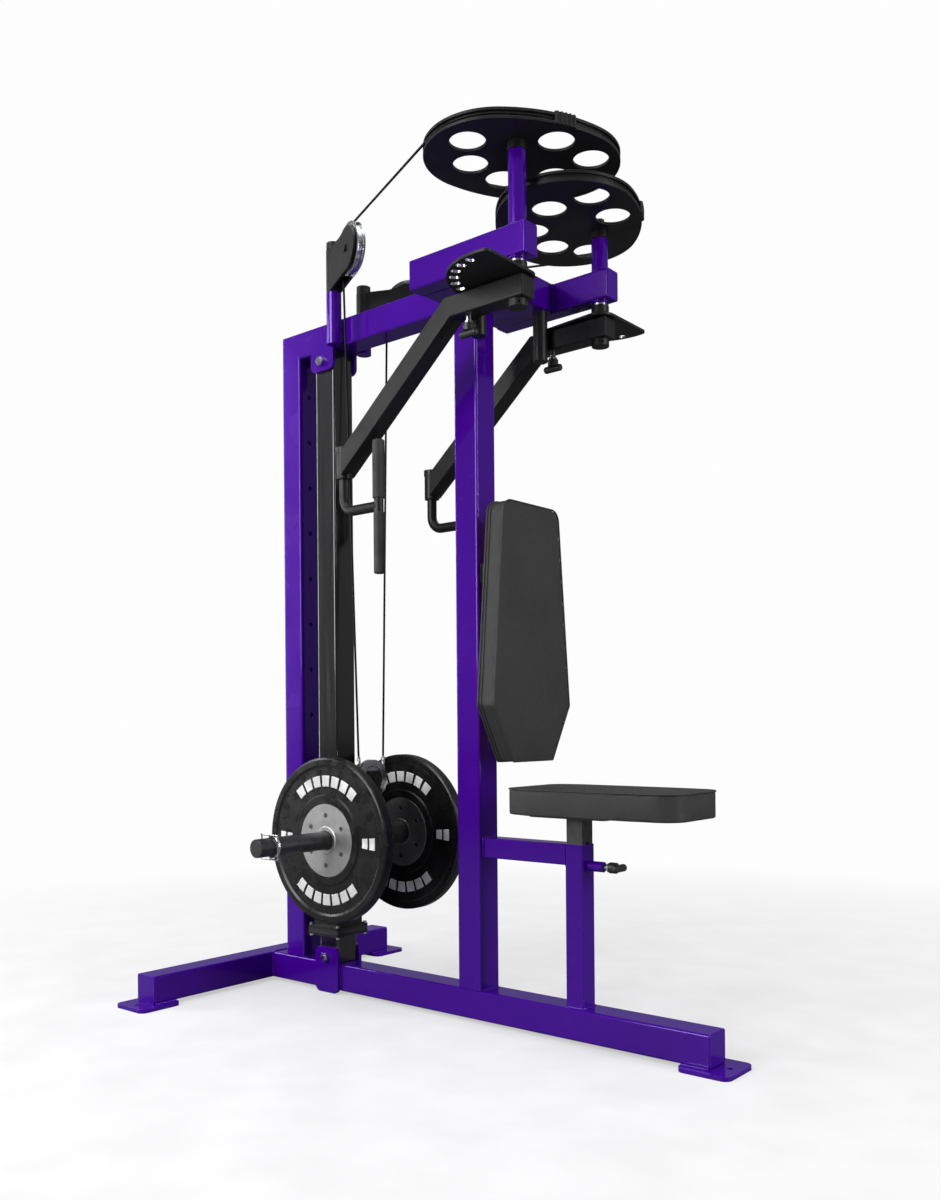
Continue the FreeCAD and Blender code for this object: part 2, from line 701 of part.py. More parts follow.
def make_shaft_sleeves():
    """A sleeve through each yoke arm with a bronze bush pressed into each of its ends."""
    right = ring("z", SHAFT, ("sleeve_low", "sleeve_high"), "sleeve_radius", "bush_radius")
    left = ring("z", SHAFT, ("sleeve_low", "sleeve_high - left_drop"), "sleeve_radius",
                "bush_radius")
    node(group(right, mirror(left)), "shaft_sleeves")
    bushes = []
    for lower, twin in (("0", False), ("left_drop", True)):
        top = f"sleeve_high - {lower}"
        for span in (("sleeve_low", "sleeve_low + 32"), (f"{top} - 32", top)):
            bush = ring("z", SHAFT, span, "bush_radius", "shaft_radius + running_gap")
            bushes.append(mirror(bush) if twin else bush)
    node(group(*bushes), "shaft_bushes")


def set_collar(x, y, low):
    """A collar with two set-screw holes, each half a right angle from straight ahead."""
    collar = rod("z", (x, y), (low, f"{low} + collar_high"), "collar_radius")
    holes = []
    for turn in (-45, 45):
        hole = rod("x", (y, f"{low} + collar_high / 2"), (x, f"{x} + collar_radius + 1"),
                   "collar_screw")
        aim = FreeCAD.Rotation(FreeCAD.Vector(0, 0, 1), turn) * AXIS_TURNS["x"]
        hole.Placement = FreeCAD.Placement(hole.Placement.Base, aim)
        holes.append(hole)
    return cut(collar, *holes)


def cam_shaft(drop):
    """A shaft with its lower retaining collar, thrust washer and cam hub."""
    top = f"shaft_high - {drop}"
    shaft = rod("z", SHAFT, ("shaft_low", top), "shaft_radius")
    shaft = round_edges(shaft, "1.5", lambda edge: isinstance(edge.Curve, Part.Circle))
    collar = set_collar(*SHAFT, "(arm_low - 1 - collar_high)")
    washer = rod("z", SHAFT, ("sleeve_low - 6", "sleeve_low - 0.2"), "sleeve_radius - 2")
    hub = rod("z", SHAFT, (f"sleeve_high - {drop} + 2", f"cam_low - {drop}"), "collar_radius")
    return join(shaft, collar, washer, hub)


def make_cam_shafts():
    """The right and left shafts; the left one is shorter, because its cam is lower."""
    node(cam_shaft("0"), "right_cam_shaft")
    node(mirror(cam_shaft("left_drop")), "left_cam_shaft")


CAM_HOLES = ((-82, -79), (-143, 6), (-130, 115), (-25, 186), (90, 174), (74, 54))


def make_cams():
    """Dished oval cams with a grooved rim, off centre on their shafts, with six holes each."""
    body = new_body("shaft_x", "-shaft_y", "cam_low + cam_thick / 2")
    centre = ("cam_centre_x", "cam_centre_y")
    outside = new_sketch(body, "XY_Plane", shift=centre, turn="cam_turn")
    draw_oval(outside, "cam_end_offset", "cam_end_radius", "cam_side_radius")
    pad(body, outside, "cam_thick", both_ways=True)
    groove = new_sketch(body, "XY_Plane", shift=centre, turn="cam_turn")
    draw_oval(groove, "cam_end_offset", "cam_end_radius + 5", "cam_side_radius + 5")
    draw_oval(groove, "cam_end_offset", "cam_end_radius - groove_depth",
              "cam_side_radius - groove_depth")
    pocket(body, groove, "groove_width")
    dish = new_sketch(body, "XY_Plane", lift="(cam_web + 2) / 2", shift=centre, turn="cam_turn")
    draw_oval(dish, "cam_end_offset", "cam_end_radius - cam_rim", "cam_side_radius - cam_rim")
    pocket(body, dish, "cam_thick - cam_web + 2")
    holes = new_sketch(body, "XY_Plane")
    for x, y in CAM_HOLES:
        draw_circle(holes, x, y, "cam_hole_radius")
    draw_circle(holes, "0", "0", "shaft_radius")
    pocket(body, holes, "2 * cam_thick")
    cam = join(body, *cable_clip())
    node(cam, "right_cam")
    node(mirror(cam, "left_drop"), "left_cam")


def cable_clip():
    """The ribbed clip over the rim's two flanges, at the end of the cable wound on the cam."""
    offset = "sqrt((cam_side_radius - cam_end_radius) ^ 2 - cam_end_offset ^ 2)"
    centre = (f"(shaft_x + cam_centre_x - {offset} * sin(cam_turn))",
              f"(-shaft_y + cam_centre_y + {offset} * cos(cam_turn))")
    level = ("cam_low - 0.5", "cam_low + cam_thick + 1.5")

    def on_rim(outward, step):
        angle = f"(cam_turn - 90 + clamp_lean + {step} * clip_pitch)"
        return (f"{centre[0]} + (cam_side_radius + {outward}) * cos({angle})",
                f"{centre[1]} + (cam_side_radius + {outward}) * sin({angle})")

    band = common(ring("z", centre, level, "cam_side_radius + 3", "cam_side_radius - 0.5"),
                  rod("z", on_rim("0", 0), level, "clip_reach"))
    ribs = [rod("z", on_rim("rib_radius", step), level, "rib_radius") for step in range(-2, 3)]
    return [band, *ribs]


def make_index_plates():
    """Plates keyed to the cam shafts, with the row of slots that an arm's pop-pin drops into."""
    level = ("index_low", "index_low + index_thick")
    disc = rod("z", SHAFT, level, "index_radius")
    corner = new_body(*SHAFT, level[0])
    sketch = new_sketch(corner, "XY_Plane")
    draw_outline(sketch, [
        ("index_side", "index_side"), ("0", "index_side"),
        ("-index_radius - 4", "index_side - index_slant"),
        ("-index_radius - 4", "-index_radius - 4"), ("index_side", "-index_radius - 4")])
    pad(corner, sketch, "index_thick")
    blank = common(disc, corner)
    far = number("index_radius") * 0.85

    def from_shaft(edge):
        return edge.CenterOfMass - FreeCAD.Vector(number(SHAFT[0]), number(SHAFT[1]), 0)

    def at_hub(edge):
        return runs_along(edge, 2) and from_shaft(edge).x > 0 and from_shaft(edge).y > 0

    def at_end(edge):
        return runs_along(edge, 2) and min(from_shaft(edge).x, from_shaft(edge).y) < -far

    blank = round_edges(blank, "index_side - 1", at_hub)
    blank = round_edges(blank, "14", at_end)
    hub = rod("z", SHAFT, (level[1], "sleeve_low - 6"), "collar_radius")

    def at_hub_foot(edge):
        return (isinstance(edge.Curve, Part.Circle) and abs(edge.CenterOfMass.z - number(level[1])) < 0.1
                and abs(edge.Curve.Radius - number("collar_radius")) < 0.1)

    whole = round_edges(join(blank, hub), "9", at_hub_foot)
    bore = rod("z", SHAFT, ("index_low - 5", "sleeve_low"), "shaft_radius")
    plate = cut(whole, bore, index_slots())
    node(plate, "right_index_plate")
    node(mirror(plate), "left_index_plate")


def index_slots():
    """Seven slots round the shaft, each with rounded ends, as one cutting tool."""
    body = new_body(*SHAFT, "index_low + index_thick / 2")
    sketch = new_sketch(body, "XY_Plane")
    half = "(slot_length / 2 - slot_half)"
    outer, inner = f"-pin_circle - {half}", f"-pin_circle + {half}"
    draw_outline(sketch, [(outer, "-slot_half"), (inner, "-slot_half"),
                          (inner, "slot_half"), (outer, "slot_half")])
    pad(body, sketch, "2 * index_thick", both_ways=True)
    for end in (outer, inner):
        tip = new_sketch(body, "XY_Plane")
        draw_circle(tip, end, "0", "slot_half")
        pad(body, tip, "2 * index_thick", both_ways=True)
    doc.recompute()
    pattern = body.newObject("PartDesign::PolarPattern", "slots")
    pattern.Originals = [item for item in body.Group if item.isDerivedFrom("PartDesign::Pad")]
    pattern.Axis = (sketch, ["N_Axis"])
    pattern.Occurrences = 7
    bind(pattern, "Angle", "6 * index_pitch")
    body.Tip = pattern
    return body


# ---- arms, handles and pop-pins -----------------------------------------------------------

PIN_X = "shaft_x - pin_circle"
ARM_HIGH = "arm_low + arm"


def arm_side_view(inset):
    """Side view of an arm with its mitred bend, drawn inward by an inset formula."""
    half = f"(arm / 2 - {inset})"
    middle = "(arm_low + arm / 2)"
    shift = f"{half} * tan(arm_slope / 2)"
    reach = "(arm_bend_x - barrel_x - 14)"
    drop = f"{reach} * tan(arm_slope)"
    side = f"{half} / cos(arm_slope)"
    return [
        ("arm_front", f"{middle} + {half}"),
        (f"arm_bend_x - {shift}", f"{middle} + {half}"),
        ("barrel_x + 14", f"{middle} - {drop} + {side}"),
        ("barrel_x + 14", f"{middle} - {drop} - {side}"),
        (f"arm_bend_x + {shift}", f"{middle} - {half}"),
        ("arm_front", f"{middle} - {half}"),
    ]


def make_arms():
    """Bent square tubes that swing on the cam shafts and carry the handles."""
    body = new_body(y="-shaft_y")
    outside = new_sketch(body, "XZ_Plane")
    draw_outline(outside, arm_side_view("0"))
    pad(body, outside, "arm", both_ways=True)
    hollow = new_sketch(body, "XZ_Plane")
    draw_outline(hollow, arm_side_view("arm_wall"))
    pocket(body, hollow, "arm - 2 * arm_wall")
    side = number("arm / 2") - 0.1
    shortest = number("arm")
    fillet_body(body, "small_corner", lambda edge: edge.Length > 1.6 * shortest
                and abs(edge.CenterOfMass.y) > side)
    barrel_at = ("barrel_x", "-shaft_y")
    barrel = rod("z", barrel_at, ("barrel_low", "barrel_high"), "barrel_radius")
    pivot = rod("z", SHAFT, ("arm_low", ARM_HIGH), "shaft_radius + 7")
    pin_guide = rod("z", (PIN_X, "-shaft_y"), ("arm_low", ARM_HIGH), "index_pin_radius + 5")
    whole = join(body, barrel, pivot, pin_guide)
    arm = cut(
        whole,
        rod("z", barrel_at, ("barrel_low - 1", "barrel_high + 1"), "handle_radius + running_gap"),
        rod("z", barrel_at, ("barrel_high", "barrel_high + collar_high + 2"), "collar_radius + 1"),
        rod("z", SHAFT, ("arm_low - 1", f"{ARM_HIGH} + 1"), "shaft_radius + running_gap"),
        rod("z", (PIN_X, "-shaft_y"), ("arm_low - 1", f"{ARM_HIGH} + 1"),
            "index_pin_radius + running_gap"))
    front_cap = end_cap(("arm_front", "arm_front + cap_thick"), between("-shaft_y", "arm / 2"),
                        ("arm_low", ARM_HIGH), "small_corner")
    piece = group(arm, front_cap)
    node(piece, "right_arm")
    node(mirror(piece), "left_arm")


def make_arm_pins():
    """Pop-pins under the arms, drawn pulled: 12 mm upward puts one into an index hole."""
    at = (PIN_X, "-shaft_y")
    pin = rod("z", at, ("arm_low - 30", f"{ARM_HIGH} + 1"), "index_pin_radius")
    nut = rod("z", at, ("arm_low - 19", "arm_low - 14"), "11")
    knob = rod("z", at, ("arm_low - 36", "arm_low - 19"), "14")
    grip = rod("x", ("-shaft_y", "arm_low - 42"), between(PIN_X, "27"), "9")
    grip = round_edges(grip, "6", lambda edge: isinstance(edge.Curve, Part.Circle))
    piece = join(pin, nut, knob, grip)
    node(piece, "right_arm_pin")
    node(mirror(piece), "left_arm_pin")


def sketch_line(sketch, start, end):
    """Add a straight line to a sketch."""
    return sketch.addGeometry(Part.LineSegment(start, end), False)


def sketch_quarter(sketch, centre, radius, start):
    """Add a quarter circle that starts at an angle in radians and turns to the left."""
    circle = Part.Circle(centre, FreeCAD.Vector(0, 0, 1), radius)
    return sketch.addGeometry(Part.ArcOfCircle(circle, start, start + math.pi / 2), False)


def sweep(body, path, section, edges):
    """Sweep a section along the edges of a path sketch."""
    pipe = body.newObject("PartDesign::AdditivePipe", "swept")
    pipe.Profile = section
    pipe.Spine = (path, [f"Edge{place}" for place in range(1, edges + 1)])
    return body


def handle_bar():
    """A bar down through the barrel and across to a grip tube, swept along its centre line."""
    body = new_body(y="-shaft_y")
    path = new_sketch(body, "XZ_Plane")
    top = "barrel_high + collar_high"
    radius = number("handle_bend")
    corner = FreeCAD.Vector(number("barrel_x"), number("handle_level"), 0)
    start = FreeCAD.Vector(corner.x, number(top), 0)
    end = FreeCAD.Vector(number("grip_x"), corner.y, 0)
    down = sketch_line(path, start, corner + FreeCAD.Vector(0, radius, 0))
    turn = sketch_quarter(path, corner + FreeCAD.Vector(radius, radius, 0), radius, math.pi)
    across = sketch_line(path, corner + FreeCAD.Vector(radius, 0, 0), end)
    path.addConstraint(Sketcher.Constraint("Tangent", down, 2, turn, 1))
    path.addConstraint(Sketcher.Constraint("Tangent", turn, 2, across, 1))
    path.addConstraint(Sketcher.Constraint("Vertical", down))
    path.addConstraint(Sketcher.Constraint("Horizontal", across))
    hold_point(path, down, 1, "barrel_x", top)
    hold_radius(path, turn, "handle_bend")
    hold_point(path, across, 2, "grip_x", "handle_level")
    section = new_sketch(body, "XY_Plane", lift=top)
    draw_circle(section, "barrel_x", "0", "handle_radius")
    return sweep(body, path, section, 3)


def make_handles():
    """Swivelling handles with an upper and a lower rubber grip on one tube."""
    grip_at = ("grip_x", "-shaft_y")
    tube = rod("z", grip_at, ("grip_low + 4", "grip_high - 4"), "grip_tube_radius")
    collar = set_collar("barrel_x", "-shaft_y", "(barrel_high + 0.5)")
    bar = join(handle_bar(), tube, collar)
    node(bar, "right_handle_bar")
    node(mirror(bar), "left_handle_bar")

    grips = []
    for low, high, radius, closed in (
        ("upper_grip_low", "grip_high", "upper_grip_radius", 1),
        ("grip_low", "lower_grip_high", "lower_grip_radius", -1),
    ):
        sleeve = rod("z", grip_at, (low, high), radius)
        rim = number(high if closed > 0 else low)
        sleeve = round_edges(
            sleeve, "4", lambda edge, rim=rim: isinstance(edge.Curve, Part.Circle)
            and abs(edge.CenterOfMass.z - rim) < 0.1)
        grips.append(cut(sleeve, rod("z", grip_at, ("grip_low + 4", "grip_high - 4"),
                                     "grip_tube_radius")))
    pair = group(*grips)
    node(pair, "right_handle_grips")
    node(mirror(pair), "left_handle_grips")


# ---- pulleys and cables -------------------------------------------------------------------

POST = ("post_x", "-tube / 2 - post_radius")
AXLE_Z = "(cam_low + cam_thick / 2 - sheave_pitch)"


def grooved_wheel(radius, pitch, thick, bore):
    """Half profile of a pulley wheel with a cable groove, web and hub."""
    half = f"{thick} / 2"
    floor = f"{pitch} - cable_radius - 0.3"
    return [
        (bore, f"-({half})"),
        (f"{bore} + 10", f"-({half})"),
        (f"{bore} + 13", "-4"),
        (f"{pitch} - 12", "-4"),
        (f"{pitch} - 8", f"-({half}) + 1"),
        (radius, f"-({half}) + 1"),
        (radius, "-7"),
        (floor, "-3.4"),
        (floor, "3.4"),
        (radius, "7"),
        (radius, f"{half} - 1"),
        (f"{pitch} - 8", f"{half} - 1"),
        (f"{pitch} - 12", "4"),
        (f"{bore} + 13", "4"),
        (f"{bore} + 10", half),
        (bore, half),
    ]


def cable_line():
    """Direction in degrees and length of the cable's line from the right post to the cam."""
    turn = math.radians(number("cam_turn"))
    offset = number("cam_end_offset")
    forward = number("shaft_x + cam_centre_x - post_x") - offset * math.cos(turn)
    aside = number(f"-shaft_y + cam_centre_y - ({POST[1]})") - offset * math.sin(turn)
    distance = math.hypot(forward, aside)
    radius = number("cam_end_radius - cable_inset")
    direction = math.atan2(aside, forward) - math.asin(radius / distance)
    return math.degrees(direction), math.sqrt(distance ** 2 - radius ** 2)


BRACKET_TURN, LINE_LENGTH = cable_line()


def turned_about_post(piece):
    """Turn a piece that was built along +x about the post's axis to the bracket's direction."""
    upward = FreeCAD.Vector(0, 0, 1)
    turn = FreeCAD.Rotation(upward, BRACKET_TURN)
    centre = FreeCAD.Vector(number(POST[0]), number(POST[1]), 0)
    holder = doc.addObject("Part::Compound", "turned")
    holder.Links = [piece]
    holder.Placement = FreeCAD.Placement(FreeCAD.Vector(), turn, centre)
    return holder


def bracket_point(along, across="0"):
    """Where a point of the bracket is before the bracket is turned."""
    return (f"post_x + {along}", f"{POST[1]} + {across}")


def bracket_cheek(low):
    """A side plate in the shape of a drop: the barrel's height behind, round at the axle."""
    body = new_body("post_x", low)
    sketch = new_sketch(body, "XZ_Plane")
    foot = number(f"post_high + 1 - {AXLE_Z}")
    back = 14
    behind = number("sheave_reach") - back
    radius = number("cheek_radius")
    rise = math.atan2(-foot, behind) - math.asin(radius / math.hypot(behind, foot))
    reach = math.sqrt(behind ** 2 + foot ** 2 - radius ** 2)
    top = "post_high + 1 + swivel_height"
    draw_outline(sketch, [
        (back, "post_high + 1"),
        (back + reach * math.cos(rise), f"post_high + 1 + {reach * math.sin(rise)}"),
        ("sheave_reach", AXLE_Z),
        ("sheave_reach - 0.5 * cheek_radius", f"{AXLE_Z} + 0.866 * cheek_radius"),
        ("sheave_reach - 0.9 * cheek_radius", f"{top} - 1"),
        (back, top)])
    pad(body, sketch, "6")
    nose = new_sketch(body, "XZ_Plane")
    draw_circle(nose, "sheave_reach", AXLE_Z, "cheek_radius")
    pad(body, nose, "6")
    return body


def pulley_bracket():
    """A barrel that turns on the post's spindle, with two cheeks and the pulley's axle."""
    barrel = ring("z", POST, ("post_high + 1", "post_high + 1 + swivel_height"), "post_radius",
                  "spindle_radius + running_gap")
    cheeks = [bracket_cheek(f"{POST[1]} + {face}")
              for face in ("sheave_thick / 2 + 7", "-sheave_thick / 2 - 1")]
    axle_x = "post_x + sheave_reach"
    axle = rod("y", (axle_x, AXLE_Z), between(POST[1], "sheave_thick / 2 + 12"), "6")
    heads = rod("y", (axle_x, AXLE_Z), between(POST[1], "sheave_thick / 2 + 13"), "11")
    gap = rod("y", (axle_x, AXLE_Z), between(POST[1], "sheave_thick / 2 + 7"), "12")
    spindle = rod("z", POST, ("post_high", "post_high + 2 + swivel_height"),
                  "spindle_radius + running_gap")
    whole = join(barrel, *cheeks, axle, cut(heads, gap))
    return turned_about_post(cut(whole, spindle))


def make_top_pulleys():
    """Swivelling brackets, their pulleys and the cable runs from pulley to cam."""
    bracket = pulley_bracket()
    node(bracket, "right_pulley_bracket")
    node(mirror(bracket, "left_drop"), "left_pulley_bracket")

    profile = grooved_wheel("sheave_radius", "sheave_pitch", "sheave_thick",
                            "(6 + running_gap)")
    wheel = turned_piece(*bracket_point("sheave_reach"), AXLE_Z, profile, AXIS_TURNS["y"])
    wheel = turned_about_post(wheel)
    node(wheel, "right_top_sheave")
    node(mirror(wheel, "left_drop"), "left_top_sheave")

    run = turned_about_post(cable_run())
    node(run, "right_cable_run")
    node(mirror(run, "left_drop"), "left_cable_run")


def cable_run():
    """Cable over the quarter of the top pulley next to the post and on to the cam."""
    body = new_body(*POST)
    path = new_sketch(body, "XZ_Plane")
    top = f"{AXLE_Z} + sheave_pitch"
    centre = FreeCAD.Vector(number("sheave_reach"), number(AXLE_Z), 0)
    start = FreeCAD.Vector(centre.x, number(top), 0)
    end = FreeCAD.Vector(LINE_LENGTH, start.y, 0)
    line = sketch_line(path, start, end)
    arc = sketch_quarter(path, centre, number("sheave_pitch"), math.pi / 2)
    path.addConstraint(Sketcher.Constraint("Tangent", arc, 1, line, 1))
    path.addConstraint(Sketcher.Constraint("Horizontal", line))
    hold_point(path, arc, 3, "sheave_reach", AXLE_Z)
    hold_radius(path, arc, "sheave_pitch")
    hold(path, "DistanceY", arc, 2, AXLE_Z)
    hold(path, "DistanceX", line, 2, LINE_LENGTH)
    section = new_sketch(body, "XY_Plane", lift=AXLE_Z)
    draw_circle(section, "sheave_reach - sheave_pitch", "0", "cable_radius")
    return sweep(body, path, section, 2)


def cable_drops():
    """One cable from the right pulley down, under the carriage pulley and up to the left one."""
    tilt = math.radians(BRACKET_TURN)
    reach = number("sheave_reach - sheave_pitch")
    x_top = number("post_x") + reach * math.cos(tilt)
    y_top = number(POST[1]) + reach * math.sin(tilt)
    x_low = number("lift_sheave_x")
    z_low = number("lift_sheave_z")
    pitch = number("lift_sheave_pitch")
    z_top = number(AXLE_Z) - number("cable_gap")
    right_top = FreeCAD.Vector(x_top, y_top, z_top)
    left_top = FreeCAD.Vector(x_top, -y_top, z_top - number("left_drop"))
    right_low = FreeCAD.Vector(x_low, -pitch, z_low)
    left_low = FreeCAD.Vector(x_low, pitch, z_low)
    radius = number("cable_radius")
    middle = FreeCAD.Vector(x_low, 0, z_low)
    under = Part.makeTorus(pitch, radius, middle, FreeCAD.Vector(1, 0, 0), 0, 360, 360)
    above = Part.makeBox(4 * pitch, 4 * pitch, 4 * pitch,
                         middle - FreeCAD.Vector(2 * pitch, 2 * pitch, 0))
    cable = under.cut(above)
    for low, high in ((right_low, right_top), (left_low, left_top)):
        drop = Part.makeCylinder(radius, (high - low).Length, low, high - low)
        bend = Part.makeSphere(1.05 * radius, low)
        cable = cable.fuse(bend).fuse(drop)
    piece = doc.addObject("Part::Feature", "cable")
    piece.Shape = cable
    return piece


def cable_wrap():
    """The cable wound in the right cam's groove, from where it meets the cam to its clamp."""
    offset = number("cam_end_offset")
    end = number("cam_end_radius - cable_inset")
    side = number("cam_side_radius - cable_inset")
    side_offset = math.sqrt((side - end) ** 2 - offset ** 2)
    lean = math.atan2(side_offset, offset)
    turn = number("cam_turn")
    centre = FreeCAD.Vector(number("shaft_x + cam_centre_x"), number("-shaft_y + cam_centre_y"),
                            number("cam_low + cam_thick / 2"))
    meets = math.radians(BRACKET_TURN - 90 - turn)
    clamp = -math.pi / 2 + math.radians(number("clamp_lean"))
    corner = -math.pi + lean

    def on_end(angle):
        return FreeCAD.Vector(-offset + end * math.cos(angle), end * math.sin(angle), 0)

    def on_side(angle):
        return FreeCAD.Vector(side * math.cos(angle), side_offset + side * math.sin(angle), 0)

    pieces = [
        Part.Arc(on_end(meets), on_end((meets + corner) / 2), on_end(corner)).toShape(),
        Part.Arc(on_side(corner), on_side((corner + clamp) / 2), on_side(clamp)).toShape(),
    ]
    path = Part.Wire(pieces)
    start = Part.Circle(on_end(meets), path.Edges[0].tangentAt(path.Edges[0].FirstParameter),
                        number("cable_radius"))
    piece = doc.addObject("Part::Feature", "cable")
    piece.Shape = path.makePipeShell([Part.Wire(start.toShape())], True, False, 2)
    piece.Placement = FreeCAD.Placement(
        centre, FreeCAD.Rotation(FreeCAD.Vector(0, 0, 1), turn))
    return piece


def make_cables():
    """The cable's stretches below the top pulleys and on the cams."""
    node(cable_drops(), "cable_drops")
    wrap = cable_wrap()
    node(wrap, "right_cable_wrap")
    node(mirror(wrap, "left_drop"), "left_cable_wrap")


# ---- carriage -----------------------------------------------------------------------------

def make_carriage():
    """A square tube round the rail; a plastic guide is clamped between flanges at each end."""
    corners = [(sx, sy) for sx in (-1, 1) for sy in (-1, 1)]

    def flange(low, hole):
        level = (low, f"{low} + flange_thick")
        plate = box(between("rail_x", "flange / 2"), between("0", "flange / 2"), level)
        plate = round_edges(plate, "8", lambda edge: runs_along(edge, 2))
        opening = box(between("rail_x", hole), between("0", hole), level)
        drills = [rod("z", corner_place(*corner), level, "corner_bolt + running_gap")
                  for corner in corners]
        return cut(plate, opening, *drills)

    tube = square_tube("z", ("rail_x", "0"), ("carriage_low", "carriage_high"), "sleeve",
                       "sleeve_wall")
    inside = "sleeve / 2 - sleeve_wall"
    lower = flange("carriage_low", inside)
    upper = flange("carriage_high - flange_thick", inside)
    clamps = [flange("carriage_low - guide_thick - flange_thick", "tube / 2 + 2"),
              flange("carriage_high + guide_thick", "tube / 2 + 2")]
    node(group(join(tube, lower, upper), *clamps), "carriage_sleeve")

    guides = []
    bolts = []
    for low in ("carriage_low - guide_thick", "carriage_high"):
        level = (low, f"{low} + guide_thick")
        block = box(between("rail_x", "flange / 2 - 3"), between("0", "flange / 2 - 3"), level)
        rail = box(between("rail_x", "tube / 2 + running_gap"),
                   between("0", "tube / 2 + running_gap"), level)
        drills = [rod("z", corner_place(*corner), level, "corner_bolt + running_gap")
                  for corner in corners]
        guides.append(cut(block, rail, *drills))
        foot = f"{low} - flange_thick"
        crown = f"{low} + guide_thick + flange_thick"
        for corner in corners:
            at = corner_place(*corner)
            shank = rod("z", at, (f"{foot} - 6", f"{crown} + 6"), "corner_bolt")
            head = rod("z", at, (crown, f"{crown} + 6"), "corner_bolt_head")
            nut = rod("z", at, (f"{foot} - 6", foot), "corner_bolt_head")
            bolts.append(join(shank, head, nut))
    node(group(*guides), "carriage_guides")
    node(group(*bolts), "carriage_bolts")


def corner_place(side_x, side_y):
    """Place of a corner bolt of the carriage's flanges."""
    return (f"rail_x + {side_x} * (flange / 2 - 8)", f"{side_y} * (flange / 2 - 8)")


def make_weight_horns():
    """A bar through the carriage's bracket that holds one weight plate on each side."""
    face = "rail_x + sleeve / 2"
    side = ("-50", "-40")
    cheek = box((face, "horn_x + 34"), side, ("horn_z - 48", "horn_z + 60"))
    cheek = round_edges(cheek, "26", lambda edge: runs_along(edge, 1)
                        and edge.CenterOfMass.x > number("horn_x"))
    cross = box((face, f"{face} + 10"), between("0", "40"), ("horn_z - 48", "horn_z + 60"))
    collar = rod("y", ("horn_x", "horn_z"), ("-plate_face", "-50"), "horn_collar_radius")
    whole = join(cheek, mirror(cheek), cross, collar, mirror(collar))
    bore = rod("y", ("horn_x", "horn_z"), between("0", "horn_half"), "horn_radius")
    node(cut(whole, bore), "horn_bracket")
    node(rod("y", ("horn_x", "horn_z"), between("0", "horn_half"), "horn_radius"),
         "weight_horn_bar")
    cap = rod("y", ("horn_x", "horn_z"),
              ("-horn_half - horn_cap_length", "-horn_half"), "horn_cap_radius")
    outer = number("horn_half + horn_cap_length")
    cap = round_edges(cap, "2", lambda edge: isinstance(edge.Curve, Part.Circle)
                      and edge.CenterOfMass.y < -outer + 0.1)
    node(group(cap, mirror(cap)), "horn_end_caps")


def both_faces(half):
    """A closed half profile from its points near the inner face, repeated at the outer face."""
    return half + [(radius, f"plate_thick - ({depth})") for radius, depth in reversed(half)]


def make_weight_plates():
    """Rubber plates with two raised rings on both faces, each bolted to a steel hub."""
    outward = FreeCAD.Rotation(FreeCAD.Vector(1, 0, 0), 90)
    at = ("horn_x", "-plate_face - 0.1", "horn_z")
    middle = "-plate_face - 0.1 - plate_thick / 2"
    drills = []
    recesses = []
    screws = []
    for step in range(6):
        turn = f"30 + {60 * step}"
        place = (f"horn_x + screw_circle * cos({turn})", f"horn_z + screw_circle * sin({turn})")
        drills.append(rod("y", place, between(middle, "plate_thick"), "screw + running_gap"))
        screws.append(rod("y", place, between(middle, "(plate_thick / 2 - 1.8)"), "screw"))
        for side in (-1, 1):
            mouth = f"{middle} + {side} * plate_thick / 2"
            recesses.append(rod("y", place, between(mouth, "3.4"), "screw + 2"))

    seat = "hub_radius + 1"
    rubber = turned_piece(*at, both_faces([
        ("hub_tube_radius + 0.1", "hub_disc"), (seat, "hub_disc"), (seat, "0"),
        ("ring_radius - 3", "0"), ("ring_radius", "ring_depth"),
        ("rim_radius", "ring_depth"), ("rim_radius + 6", "0"), ("plate_radius - 6", "0"),
        ("plate_radius - 2", "2"), ("plate_radius", "6")]), outward)
    rubber = cut(rubber, *drills)
    node(rubber, "right_weight_plate")
    node(mirror(rubber), "left_weight_plate")

    steel = turned_piece(*at, both_faces([
        ("plate_bore", "1.5"), ("plate_bore + 1.5", "0"), ("36", "0"), ("38", "1"),
        ("hub_radius - 1.5", "1"), ("hub_radius", "2.5"), ("hub_radius", "hub_disc - 0.1"),
        ("hub_tube_radius", "hub_disc - 0.1")]), outward)
    hub = join(cut(steel, *recesses), *screws)
    node(hub, "right_plate_hub")
    node(mirror(hub), "left_plate_hub")


